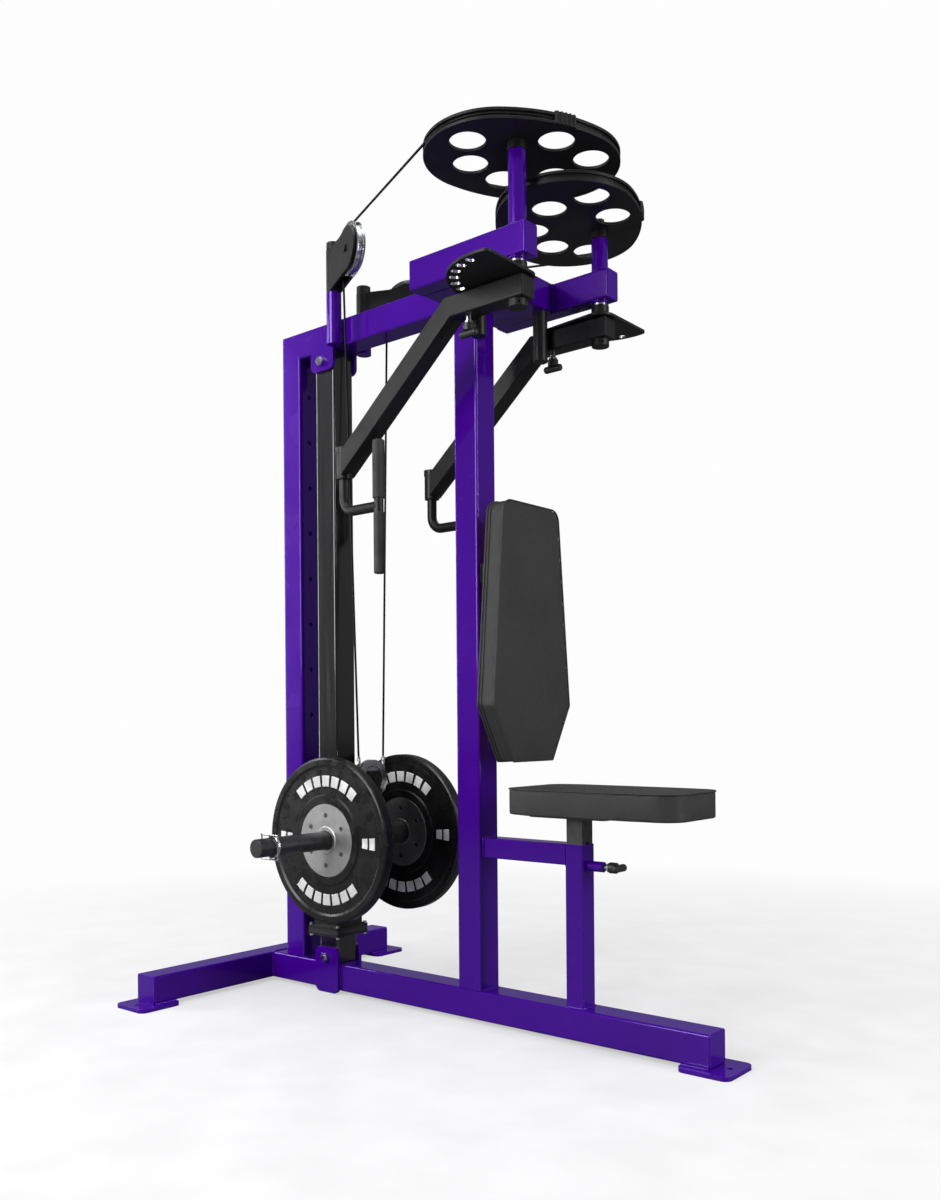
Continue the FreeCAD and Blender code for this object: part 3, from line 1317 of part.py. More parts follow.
def make_horn_clips():
    """Spring collars: two wire coils round each horn and a square wire bail outside them."""
    coil_radius = "horn_radius + running_gap + wire"
    parts = []
    for step in (-1, 1):
        coil = doc.addObject("Part::Torus", "coil")
        bind(coil, "Radius1", coil_radius)
        bind(coil, "Radius2", "wire")
        coil.Placement = FreeCAD.Placement(FreeCAD.Vector(), AXIS_TURNS["y"])
        bind(coil, ".Placement.Base.x", "horn_x")
        bind(coil, ".Placement.Base.y", f"-clip_y + {step} * wire * 0.9")
        bind(coil, ".Placement.Base.z", "horn_z")
        parts.append(coil)
    bail_y = "-clip_y - bail_offset"
    side = "bail / 2"
    for step in (-1, 1):
        edge_x, edge_z = f"horn_x + {step} * {side}", f"horn_z + {step} * {side}"
        parts.append(rod("z", (edge_x, bail_y), between("horn_z", f"{side} + wire"), "wire"))
        parts.append(rod("x", (bail_y, edge_z), between("horn_x", f"{side} + wire"), "wire"))
        leg = rod("y", ("horn_x", f"horn_z + {step} * ({coil_radius})"), (bail_y, "-clip_y"),
                  "wire")
        strut = rod("z", ("horn_x", bail_y),
                    (f"horn_z + {step} * ({coil_radius})", edge_z)[::step], "wire")
        parts += [leg, strut]
    bore = rod("y", ("horn_x", "horn_z"), ("-clip_y - 20", "-clip_y + 20"),
               "horn_radius + running_gap")
    clip = cut(join(*parts), bore)
    node(clip, "right_horn_clip")
    node(mirror(clip), "left_horn_clip")


def either_side(side, near, far):
    """The (low, high) span between two distances from the carriage pulley's middle plane."""
    ends = [f"lift_sheave_x + {side} * ({away})" for away in (near, far)]
    return ends[::side]


def make_lift_pulley():
    """The equalising pulley on the carriage and the fork that holds it."""
    at = ("0", "lift_sheave_z")
    thick = "lift_sheave_thick / 2"
    plates = []
    heads = []
    for side in (-1, 1):
        plate = box(either_side(side, f"{thick} + 1", f"{thick} + 7"), between("0", "22"),
                    ("horn_z + 30", "lift_sheave_z + 24"))
        plates.append(round_edges(plate, "14", lambda edge: runs_along(edge, 0)
                                  and edge.CenterOfMass.z > number("lift_sheave_z")))
        heads.append(rod("x", at, either_side(side, f"{thick} + 7", f"{thick} + 13"), "10"))
    foot = box(between("lift_sheave_x", f"{thick} + 7"), between("0", "40"),
               ("horn_z + 30", "horn_z + 38"))
    axle = rod("x", at, between("lift_sheave_x", f"{thick} + 11"), "6")
    node(join(*plates, foot, axle, *heads), "carriage_pulley_fork")
    profile = grooved_wheel("lift_sheave_radius", "lift_sheave_pitch", "lift_sheave_thick",
                            "(6 + running_gap)")
    wheel = turned_piece("lift_sheave_x", "0", "lift_sheave_z", profile, AXIS_TURNS["x"])
    node(wheel, "carriage_sheave")


# ---- seat ---------------------------------------------------------------------------------

def make_seat_post():
    """A post on the main beam braced to the front upright, with its pop-pin barrel."""
    span = ("front_upright_x + tube / 2", "seat_post_x - seat_post / 2")
    brace = square_tube("x", ("0", "seat_post_top - seat_post / 2"), span, "seat_post",
                        "seat_post_wall", "small_corner")
    node(brace, "seat_support_tube")
    post = square_tube("z", ("seat_post_x", "0"), (BASE_TOP, "seat_post_top"), "seat_post",
                       "seat_post_wall", "small_corner")
    front = "seat_post_x + seat_post / 2"
    hole = rod("x", ("0", "seat_pin_z"), ("seat_post_x", f"{front} + 10"),
               "pin_radius + running_gap")
    barrel = ring("x", ("0", "seat_pin_z"), (front, f"{front} + 43.5"), "12.5",
                  "pin_radius + running_gap")
    node(group(cut(post, hole), barrel), "seat_post")


def make_seat_pin():
    """The seat's pop-pin, drawn pulled: 12 mm inward puts it into a hole of the stem."""
    at = ("0", "seat_pin_z")
    tip = "seat_post_x + seat_stem / 2 + 0.5"
    ring_at = "seat_post_x + seat_post / 2 + 56"
    pin = rod("x", at, (tip, f"{ring_at} + 10"), "pin_radius")
    nut = rod("x", at, (ring_at, f"{ring_at} + 5"), "11")
    knob = rod("x", at, (f"{ring_at} + 5", f"{ring_at} + 22"), "13")
    grip = rod("y", (f"{ring_at} + 29", "seat_pin_z"), between("0", "25"), "9")
    grip = round_edges(grip, "6", lambda edge: isinstance(edge.Curve, Part.Circle))
    node(join(pin, nut, knob, grip), "seat_pin")


def make_seat():
    """The sliding stem with its row of holes, its plate and the seat pad."""
    body = new_body("seat_post_x")
    section = new_sketch(body, "XY_Plane", lift="seat_stem_low")
    corners = ((-1, -1), (1, -1), (1, 1), (-1, 1))
    outer, inner = "seat_stem / 2", "seat_stem / 2 - 4"
    draw_outline(section, [(f"{a} * {outer}", f"{b} * {outer}") for a, b in corners])
    draw_outline(section, [(f"{a} * ({inner})", f"{b} * ({inner})") for a, b in corners])
    pad(body, section, "seat_plate_low - seat_stem_low")
    holes = new_sketch(body, "YZ_Plane", lift=outer)
    draw_circle(holes, "0", "seat_pin_z - 2 * seat_hole_pitch", "pin_hole_radius")
    row_of_cuts(body, pocket(body, holes, "seat_stem / 2"), holes, "seat_hole_pitch", 5)
    plate = box(between("seat_post_x", "110"), between("0", "60"),
                ("seat_plate_low", "seat_low"))
    plate = round_edges(plate, "12", lambda edge: runs_along(edge, 2))
    node(group(body, plate), "seat_stem")

    cushion = new_body()
    outline = new_sketch(cushion, "XY_Plane", lift="seat_low")
    right = [("seat_back", "-104"), ("seat_back + 70", "-122"), ("seat_front - 150", "-120"),
             ("seat_front", "-108")]
    left = [(x, y.removeprefix("-")) for x, y in reversed(right)]
    draw_outline(outline, right + left)
    pad(cushion, outline, "seat_thick")
    front = number("seat_front") - 1
    fillet_body(cushion, "55", lambda edge: runs_along(edge, 2) and edge.CenterOfMass.x > front)
    fillet_body(cushion, "35", lambda edge: runs_along(edge, 2)
                and edge.CenterOfMass.x < number("seat_back") + 1)
    node(cushion, "seat_pad")


# ---- back pad -----------------------------------------------------------------------------

BRACKET_HEIGHTS = ("850", "1150")


def back_pad_outline(inset):
    """Front view of the back pad: widest low down, straight sides that narrow to the top."""
    right = [
        (f"pad_low_half - {inset}", f"pad_low + {inset}"),
        (f"pad_wide_half - {inset}", "pad_wide_z"),
        (f"pad_top_half - {inset}", f"pad_high - {inset}"),
    ]
    left = [(f"-({y})", z) for y, z in reversed(right)]
    return right + left


def padded_block(back, thickness, inset):
    """A block in the back pad's outline with rounded corners."""
    body = new_body()
    outline = new_sketch(body, "YZ_Plane", lift=back)
    draw_outline(outline, back_pad_outline(inset))
    pad(body, outline, thickness)
    top = number("pad_high") - 20
    fillet_body(body, "30", lambda edge: runs_along(edge, 0)
                and edge.CenterOfMass.z > number("pad_wide_z") + 10)
    return body


def make_back_pad():
    """The back pad on its plywood board and two brackets on the front upright; its bolts."""
    face = "front_upright_x + tube / 2"
    node(padded_block("pad_face_back + board_thick", "pad_front - pad_face_back - board_thick",
                      "0"), "back_pad")
    board = padded_block("pad_face_back", "board_thick", "3")
    spots = [(y, z) for z in BRACKET_HEIGHTS for y in ("-45", "45")]
    deep = ("pad_face_back - 10", "pad_face_back + board_thick - 1")
    drills = [rod("x", spot, deep, "4") for spot in spots]
    node(cut(board, *drills), "back_pad_board")

    brackets = []
    bolts = []
    for z in BRACKET_HEIGHTS:
        arm = square_tube("x", ("0", z), (face, "pad_face_back - 6"), "50", "seat_post_wall",
                          "small_corner")
        plate = box(("pad_face_back - 6", "pad_face_back"), between("0", "65"), between(z, "30"))
        plate = round_edges(plate, "10", lambda edge: runs_along(edge, 0))
        holes = [rod("x", (y, z), ("pad_face_back - 10", "pad_face_back + 1"), "4")
                 for y in ("-45", "45")]
        brackets.append(cut(join(arm, plate), *holes))
        for y in ("-45", "45"):
            head = rod("x", (y, z), ("pad_face_back - 12", "pad_face_back - 6"), "7")
            bolts.append(join(head, rod("x", (y, z), ("pad_face_back - 6", deep[1]), "4")))
    node(group(*brackets), "back_pad_brackets")
    return bolts


for make in (make_foot_plates, make_base, make_uprights, make_yoke, make_end_caps,
             make_posts, make_shaft_sleeves, make_cam_shafts, make_cams, make_index_plates,
             make_arms, make_arm_pins, make_handles, make_top_pulleys, make_cables,
             make_carriage, make_weight_horns, make_weight_plates, make_horn_clips,
             make_lift_pulley, make_seat_post, make_seat_pin, make_seat):
    make()
node(group(*make_rail(), *make_back_pad()), "frame_bolts")


# ---- check and write ----------------------------------------------------------------------

def faults():
    """Every object that failed to compute and every sub-part without a sound solid."""
    found = []
    for item in doc.Objects:
        if {"Invalid", "Error"} & set(item.State):
            found.append(f"{item.Label}: {item.State}")
    for piece in NODES:
        if piece.Shape.isNull() or not piece.Shape.isValid() or not piece.Shape.Solids:
            found.append(f"{piece.Label}: no sound solid")
    return found


doc.recompute()
problems = faults()
if problems:
    raise RuntimeError("; ".join(problems))
os.makedirs("parts", exist_ok=True)
for piece in NODES:
    piece.Shape.exportStep(f"parts/{piece.Label}.step")
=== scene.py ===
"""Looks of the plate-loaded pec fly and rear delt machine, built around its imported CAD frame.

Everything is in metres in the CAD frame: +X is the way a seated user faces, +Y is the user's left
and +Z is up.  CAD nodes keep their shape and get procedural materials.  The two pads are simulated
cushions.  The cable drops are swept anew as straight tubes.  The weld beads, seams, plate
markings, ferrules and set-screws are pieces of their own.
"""

import json
import math
from itertools import pairwise

import bmesh
import bpy
from mathutils import Matrix, Vector, noise
from mathutils.kdtree import KDTree


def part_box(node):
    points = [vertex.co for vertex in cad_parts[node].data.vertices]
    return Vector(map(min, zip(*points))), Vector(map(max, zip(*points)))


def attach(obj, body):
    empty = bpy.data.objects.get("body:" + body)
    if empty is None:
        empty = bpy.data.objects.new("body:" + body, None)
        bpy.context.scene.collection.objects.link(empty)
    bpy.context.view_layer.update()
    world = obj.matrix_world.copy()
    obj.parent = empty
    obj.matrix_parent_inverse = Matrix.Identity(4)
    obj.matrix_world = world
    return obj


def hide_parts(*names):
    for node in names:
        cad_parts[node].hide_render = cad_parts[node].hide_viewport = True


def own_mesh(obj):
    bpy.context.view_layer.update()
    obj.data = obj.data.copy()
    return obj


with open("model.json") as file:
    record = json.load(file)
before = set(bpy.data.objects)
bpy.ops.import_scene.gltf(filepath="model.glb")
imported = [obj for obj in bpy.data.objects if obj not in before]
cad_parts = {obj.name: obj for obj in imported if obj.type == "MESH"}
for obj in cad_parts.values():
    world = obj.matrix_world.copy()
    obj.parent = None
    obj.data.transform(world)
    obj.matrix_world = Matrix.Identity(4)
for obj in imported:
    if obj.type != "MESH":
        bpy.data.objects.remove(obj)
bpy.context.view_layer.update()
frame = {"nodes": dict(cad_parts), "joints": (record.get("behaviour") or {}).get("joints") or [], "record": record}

scene = bpy.context.scene
NODES = frame["nodes"]
JOINTS = {joint["name"]: joint for joint in frame["joints"]}
SLOTS = {row["node"]: row["material_slot"] for row in frame["record"]["subparts"]}

TUBE_CORNER = 0.006          # outer corner radius of the frame tubes
SMALL_CORNER = 0.004         # outer corner radius of the smaller tubes
CABLE_RADIUS = 0.003
TOP_PITCH = 0.066            # top pulley axle to cable centre
LIFT_PITCH = 0.047           # carriage pulley axle to cable centre
LEFT_DROP = 0.088            # how much lower the left cam and top pulley are


# ---- materials ----------------------------------------------------------------------------

class Finish:
    """A material being built: its Principled shader, and short calls that add nodes to it."""

    def __init__(self, name, roughness=0.5, metallic=0.0, coat=0.0):
        self.material = bpy.data.materials.new(name)
        self.material.use_nodes = True
        self.tree = self.material.node_tree
        self.shader = self.tree.nodes["Principled BSDF"]
        self.shader.inputs["Roughness"].default_value = roughness
        self.shader.inputs["Metallic"].default_value = metallic
        self.shader.inputs["Coat Weight"].default_value = coat
        self.shader.inputs["Coat Roughness"].default_value = 0.08
        self.place = self.add("ShaderNodeTexCoord").outputs["Object"]
        self.normal = None

    def add(self, kind, **inputs):
        """Add a node; an input is a number, a tuple or another node's output."""
        node = self.tree.nodes.new(kind)
        for name, value in inputs.items():
            socket = node.inputs[name.replace("_", " ")]
            if isinstance(value, bpy.types.NodeSocket):
                self.tree.links.new(value, socket)
            else:
                socket.default_value = value
        return node

    def drive(self, name, output):
        """Feed an output into one of the shader's inputs."""
        self.tree.links.new(output, self.shader.inputs[name])

    def stretched(self, x, y, z):
        """The place, scaled along each axis, so that a texture is drawn out."""
        mapping = self.add("ShaderNodeMapping", Vector=self.place, Scale=(x, y, z))
        return mapping.outputs["Vector"]

    def noise(self, scale, detail=3.0, place=None):
        """A noise value from 0 to 1; scale is in waves per metre."""
        node = self.add("ShaderNodeTexNoise", Vector=place or self.place, Scale=scale,
                        Detail=detail)
        return node.outputs["Fac"]

    def cells(self, scale):
        """Distance to the edge of small irregular cells, as in leather grain."""
        node = self.add("ShaderNodeTexVoronoi", Vector=self.place, Scale=scale)
        node.feature = "DISTANCE_TO_EDGE"
        return node.outputs["Distance"]

    def remap(self, value, low, high, start=0.3, end=0.7):
        """Carry a value's range from start..end to low..high."""
        inputs = {"Value": value, "From_Min": start, "From_Max": end, "To_Min": low,
                  "To_Max": high}
        return self.add("ShaderNodeMapRange", **inputs).outputs["Result"]

    def mix(self, share, first, second):
        """Blend two colours."""
        node = self.add("ShaderNodeMix")
        node.data_type = "RGBA"
        colours = [socket for socket in node.inputs if socket.type == "RGBA"]
        for socket, value in zip(colours, (first, second)):
            if isinstance(value, bpy.types.NodeSocket):
                self.tree.links.new(value, socket)
            else:
                socket.default_value = (*value, 1.0)
        self.tree.links.new(share, node.inputs["Factor"])
        return [socket for socket in node.outputs if socket.type == "RGBA"][0]

    def wear_and_highlight_edges(self, radius):
        """1 along an edge and 0 away from it; the edge's shading is rounded by the radius. The mask paints edge
        wear, and in the powder coat and the rubber also a painted highlight.
        """
        bevel = self.add("ShaderNodeBevel", Radius=radius)
        bevel.samples = 4
        self.normal = bevel.outputs["Normal"]
        flat = self.add("ShaderNodeNewGeometry").outputs["Normal"]
        node = self.tree.nodes.new("ShaderNodeVectorMath")
        node.operation = "DOT_PRODUCT"
        self.tree.links.new(self.normal, node.inputs[0])
        self.tree.links.new(flat, node.inputs[1])
        return self.remap(node.outputs["Value"], 1.0, 0.0, 0.82, 0.995)

    def bump(self, height, depth):
        """Raise the surface by a height from 0 to 1 times a depth in metres."""
        inputs = {"Height": height, "Distance": depth, "Strength": 1.0}
        if self.normal:
            inputs["Normal"] = self.normal
        self.normal = self.add("ShaderNodeBump", **inputs).outputs["Normal"]

    def done(self):
        """Connect the normal and return the material."""
        if self.normal:
            self.drive("Normal", self.normal)
        return self.material


def painted(name, colour, edge_colour, tint, roughness, peel, coat):
    """Powder coat: cloudy colour, orange peel, and a painted highlight along the edges, partly the paler, thinner
    cover there.
    """
    finish = Finish(name, coat=coat)
    finish.shader.inputs["Specular Tint"].default_value = (*tint, 1.0)
    finish.shader.inputs["Coat Tint"].default_value = (*tint, 1.0)
    edge = finish.wear_and_highlight_edges(0.0012)
    cloud = finish.remap(finish.noise(4.0), 0.0, 1.0)
    deep = tuple(0.86 * part for part in colour)
    body = finish.mix(cloud, deep, colour)
    # edge_colour along the edges is a painted highlight, partly the thinner coat there
    finish.drive("Base Color", finish.mix(edge, body, edge_colour))
    finish.drive("Roughness", finish.remap(finish.noise(9.0, 2.0), roughness - 0.04,
                                           roughness + 0.06))
    finish.bump(finish.noise(420.0, 2.0), peel)
    return finish.done()


def purple_paint():
    """Glossy purple powder coat."""
    # the second colour is the painted highlight along the edges
    return painted("purple_powder_coat", (0.075, 0.0012, 0.26), (0.24, 0.02, 0.80),
                   (0.45, 0.03, 1.0), 0.24, 0.00004, 0.6)


def black_paint():
    """Satin black powder coat with a fine grain."""
    finish = Finish("black_powder_coat")
    edge = finish.wear_and_highlight_edges(0.0012)
    finish.shader.inputs["Specular IOR Level"].default_value = 0.3
    speck = finish.remap(finish.noise(900.0, 2.0), 0.0, 1.0, 0.35, 0.65)
    body = finish.mix(speck, (0.0045, 0.0045, 0.0047), (0.013, 0.013, 0.0133))
    finish.drive("Base Color", finish.mix(edge, body, (0.085, 0.085, 0.088)))
    finish.drive("Roughness", finish.remap(finish.noise(25.0, 5.0), 0.34, 0.48))
    finish.bump(finish.noise(900.0, 3.0), 0.00012)
    return finish.done()


def rail_paint():
    """Gloss black of the guide rail, with paler, rougher streaks along its length."""
    finish = Finish("gloss_black", coat=1.0)
    edge = finish.wear_and_highlight_edges(0.001)
    length_streaks = finish.noise(1.0, 6.0, finish.stretched(260.0, 260.0, 3.0))
    streak = finish.remap(length_streaks, 0.0, 1.0, 0.52, 0.72)
    # the colour is paler along the same lengthwise streaks that make the paint rougher
    body = finish.mix(streak, (0.003, 0.003, 0.0035), (0.012, 0.012, 0.0125))
    finish.drive("Base Color", finish.mix(edge, body, (0.05, 0.05, 0.052)))
    finish.drive("Roughness", finish.remap(length_streaks, 0.08, 0.26))
    finish.bump(length_streaks, 0.00003)
    return finish.done()


def metal(name, colour, roughness, scratches=(300.0, 300.0, 300.0), depth=0.00002):
    """Bare metal with fine scratches and a slight tarnish."""
    finish = Finish(name, metallic=1.0)
    edge = finish.wear_and_highlight_edges(0.0006)
    tarnish = finish.remap(finish.noise(40.0, 5.0), 0.0, 1.0)
    dull = tuple(0.68 * part for part in colour)
    bright = tuple(min(1.0, 1.25 * part) for part in colour)
    body = finish.mix(tarnish, dull, colour)
    finish.drive("Base Color", finish.mix(edge, body, bright))
    grain = finish.noise(1.0, 4.0, finish.stretched(*scratches))
    finish.drive("Roughness", finish.remap(grain, roughness - 0.05, roughness + 0.1))
    finish.bump(grain, depth)
    return finish.done()


def turned_metal(name, colour, roughness, axis, drawn_out):
    """Metal turned on a lathe: fine rings round the piece's axis and stretched highlights."""
    finish = Finish(name, roughness, metallic=1.0)
    finish.wear_and_highlight_edges(0.0006)
    tangent = finish.add("ShaderNodeTangent")
    tangent.direction_type = "RADIAL"
    tangent.axis = axis
    finish.drive("Tangent", tangent.outputs["Tangent"])
    finish.shader.inputs["Anisotropic"].default_value = drawn_out
    cloud = finish.remap(finish.noise(30.0, 5.0), 0.0, 1.0)
    finish.drive("Base Color", finish.mix(cloud, tuple(0.75 * part for part in colour), colour))
    finish.drive("Roughness", finish.remap(finish.noise(700.0, 3.0), roughness - 0.06,
                                           roughness + 0.08))
    finish.bump(finish.noise(500.0, 2.0), 0.00002)
    return finish.done()


def rubber(name, colour, roughness, grain_scale, grain_depth):
    """Moulded rubber: a fine skin, dusty patches, and paler edges that are partly scuffs and partly a painted
    highlight.
    """
    finish = Finish(name)
    finish.shader.inputs["Specular IOR Level"].default_value = 0.35
    edge = finish.wear_and_highlight_edges(0.0015)
    dust = finish.remap(finish.noise(9.0, 6.0), 0.0, 1.0, 0.45, 0.75)
    dusty = tuple(part * 1.9 + 0.004 for part in colour)
    body = finish.mix(dust, colour, dusty)
    # paler edge colour: partly scuffs, partly a painted highlight along the rims
    finish.drive("Base Color", finish.mix(edge, body, tuple(3.2 * part for part in colour)))
    finish.drive("Roughness", finish.remap(finish.noise(30.0, 4.0), roughness - 0.08,
                                           roughness + 0.1))
    finish.bump(finish.noise(grain_scale, 3.0), grain_depth)
    return finish.done()


def vinyl():
    """Charcoal upholstery vinyl with leather grain and soft creasing."""
    finish = Finish("vinyl", 0.45)
    finish.shader.inputs["Specular IOR Level"].default_value = 0.3
    grain = finish.remap(finish.cells(620.0), 0.0, 1.0, 0.0, 0.12)
    cloud = finish.remap(finish.noise(7.0, 4.0), 0.0, 1.0)
    body = finish.mix(cloud, (0.031, 0.031, 0.0315), (0.040, 0.040, 0.0405))
    finish.drive("Base Color", finish.mix(grain, (0.019, 0.019, 0.0195), body))
    finish.drive("Roughness", finish.remap(finish.noise(60.0, 4.0), 0.42, 0.58))
    finish.bump(finish.noise(35.0, 3.0), 0.0006)
    finish.bump(grain, 0.00016)
    return finish.done()


def plastic(name, colour, roughness):
    """Moulded plastic with a fine spark-eroded skin."""
    finish = Finish(name)
    edge = finish.wear_and_highlight_edges(0.0008)
    cloud = finish.remap(finish.noise(50.0, 4.0), 0.0, 1.0)
    body = finish.mix(cloud, tuple(0.8 * part for part in colour), colour)
    finish.drive("Base Color", finish.mix(edge, body, tuple(2.5 * part for part in colour)))
    finish.drive("Roughness", finish.remap(finish.noise(80.0, 4.0), roughness - 0.06,
                                           roughness + 0.08))
    finish.bump(finish.noise(1500.0, 2.0), 0.00004)
    return finish.done()


def plywood():
    """Birch plywood: long grain across the board and thin dark glue lines."""
    finish = Finish("plywood", 0.6)
    grain = finish.noise(1.0, 6.0, finish.stretched(900.0, 60.0, 6.0))
    finish.drive("Base Color", finish.mix(finish.remap(grain, 0.0, 1.0), (0.22, 0.13, 0.06),
                                          (0.46, 0.31, 0.17)))
    finish.drive("Roughness", finish.remap(grain, 0.5, 0.75))
    finish.bump(grain, 0.0002)
    return finish.done()


def cable_jacket():
    """Black nylon jacket through which the strands just show."""
    finish = Finish("cable_coat", 0.5)
    finish.shader.inputs["Specular IOR Level"].default_value = 0.12
    strands = finish.noise(900.0, 2.0)
    finish.drive("Base Color", finish.mix(strands, (0.003, 0.003, 0.003), (0.009, 0.009, 0.009)))
    finish.drive("Roughness", finish.remap(strands, 0.40, 0.55))
    finish.bump(strands, 0.00004)
    return finish.done()


MATERIALS = {
    "purple_powder_coat": purple_paint(),
    "black_powder_coat": black_paint(),
    "gloss_black": rail_paint(),
    "chrome": metal("chrome", (0.82, 0.82, 0.83), 0.10),
    "brushed_steel": turned_metal("brushed_steel", (0.46, 0.46, 0.46), 0.40, "Y", 0.45),
    # dark_steel only darkens the hub screws, partly as painted shade of their recesses
    "dark_steel": metal("dark_steel", (0.13, 0.13, 0.135), 0.38, (90.0, 500.0, 90.0), 0.0001),
    "zinc_steel": metal("zinc_steel", (0.55, 0.55, 0.54), 0.24),
    "machined_aluminium": turned_metal("machined_aluminium", (0.78, 0.79, 0.80), 0.18, "Y", 0.75),
    "bronze": metal("bronze", (0.55, 0.33, 0.13), 0.35),
    "black_plastic": plastic("black_plastic", (0.016, 0.016, 0.017), 0.42),
    "cable_coat": cable_jacket(),
    "plate_rubber": rubber("plate_rubber", (0.006, 0.006, 0.0062), 0.28, 1300.0, 0.00004),
    "grip_rubber": rubber("grip_rubber", (0.022, 0.022, 0.0225), 0.6, 700.0, 0.00025),
    "vinyl": vinyl(),
    "plywood": plywood(),
    "marking": rubber("marking", (0.62, 0.62, 0.61), 0.5, 1300.0, 0.00006),
    "worn_steel": metal("worn_steel", (0.11, 0.11, 0.112), 0.34, (420.0, 420.0, 7.0), 0.00025),
}


def paint(piece, *names):
    """Give a piece its materials, one slot each."""
    piece.data.materials.clear()
    for name in names:
        piece.data.materials.append(MATERIALS[name])


def paint_where(node, name, chosen):
    """Give a CAD node a further material on the faces that a test of face and centre picks."""
    mesh = NODES[node].data
    mesh.materials.append(MATERIALS[name])
    last = len(mesh.materials) - 1
    for face in mesh.polygons:
        if chosen(face.normal, face.center):
            face.material_index = last


SLOT_RING = (0.1355, 0.1605)     # radii between which an index plate's slots lie
SLOT_TURNS = (-6, 87)            # directions between which they lie, degrees from straight back
SCREW_CIRCLE = 0.068             # radius on which a plate hub has its six screws
SCREW_REACH = 0.006              # a little over the radius of a screw's head


def in_slot(centre, side):
    """Whether a place lies in the ring and the quarter where an index plate has its slots."""
    shaft = Vector(JOINTS[f"{side}_cam_turn"]["pos_m"])
    outward = centre.y - shaft.y if side == "left" else shaft.y - centre.y
    turn = math.degrees(math.atan2(outward, shaft.x - centre.x))
    away = math.hypot(outward, centre.x - shaft.x)
    return SLOT_RING[0] < away < SLOT_RING[1] and SLOT_TURNS[0] < turn < SLOT_TURNS[1]


def near_screw(centre, middle):
    """Whether a place lies on one of the six screws of a weight plate's hub."""
    across, up = centre.x - middle.x, centre.z - middle.z
    turn = (math.degrees(math.atan2(across, up)) + 30) % 60 - 30
    away = math.hypot(across, up)
    aside = away * math.sin(math.radians(turn))
    return abs(aside) < SCREW_REACH and abs(away - SCREW_CIRCLE) < SCREW_REACH


SEAT_KNOB = 0.034            # length of the seat pin's plastic knob
ARM_KNOB = 0.032             # height of an arm pin's plastic knob
COLLAR_TOP = 0.0172          # top of a cam shaft's collar above the shaft's lower end
HUB_FOOT = 0.052             # foot of a cam's hub below the shaft's upper end
SPINDLE_FOOT = 0.139         # foot of a pulley post's zinc spindle below the post's top
POST_HEAD = 0.019            # height of a pulley post's black head


def paint_nodes():
    """Materials of the CAD nodes; a node made of several materials is painted by place."""
    for node, slot in SLOTS.items():
        paint(NODES[node], slot)
    paint(NODES["seat_stem"], "worn_steel")
    seat_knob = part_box("seat_pin")[1].x - SEAT_KNOB
    paint_where("seat_pin", "black_plastic", lambda normal, place: place.x > seat_knob)
    paint_where("back_pad_board", "vinyl", lambda normal, place: abs(normal.x) < 0.9)
    posts_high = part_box("pulley_posts")[1].z
    for side, outward, drop in (("right", -1, 0.0), ("left", 1, LEFT_DROP)):
        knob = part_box(f"{side}_arm_pin")[0].z + ARM_KNOB
        paint_where(f"{side}_arm_pin", "black_plastic", lambda normal, place: place.z < knob)
        low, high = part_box(f"{side}_cam_shaft")
        collar, hub = low.z + COLLAR_TOP, high.z - HUB_FOOT
        paint_where(f"{side}_cam_shaft", "black_powder_coat",
                    lambda normal, place: place.z < collar or place.z > hub)
        paint_where(f"{side}_index_plate", "zinc_steel",
                    lambda normal, place: abs(normal.z) < 0.3 and in_slot(place, side))
        middle = sum(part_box(f"{side}_plate_hub"), Vector()) / 2
        # the hub screws are painted dark steel, partly as painted shade of the recesses they sit in
        paint_where(f"{side}_plate_hub", "dark_steel",
                    lambda normal, place: near_screw(place, middle))
        paint(NODES[f"{side}_horn_clip"], "chrome")
        top = posts_high - drop
        for name, length in (("zinc_steel", SPINDLE_FOOT), ("black_powder_coat", POST_HEAD)):
            paint_where("pulley_posts", name,
                        lambda normal, place: place.y * outward > 0 and place.z > top - length)


# ---- mesh helpers -------------------------------------------------------------------------

def finish_piece(name, mesh, slot, body, material=None, smooth=True):
    """Make a piece of a bmesh, give it its material, let it ride on a body and return it."""
    data = bpy.data.meshes.new(name)
    bmesh.ops.recalc_face_normals(mesh, faces=mesh.faces)
    mesh.to_mesh(data)
    mesh.free()
    data.polygons.foreach_set("use_smooth", [smooth] * len(data.polygons))
    piece = bpy.data.objects.new(name, data)
    scene.collection.objects.link(piece)
    piece.data.materials.append(MATERIALS[material or slot])
    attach(piece, body)
    return piece


def resample(points, step, closed=False):
    """Points at an even step along a path."""
    corners = [Vector(point) for point in points]
    if closed:
        corners.append(corners[0])
    result = []
    for start, end in pairwise(corners):
        count = max(1, round((end - start).length / step))
        result += [start.lerp(end, place / count) for place in range(count)]
    if not closed:
        result.append(corners[-1])
    return result


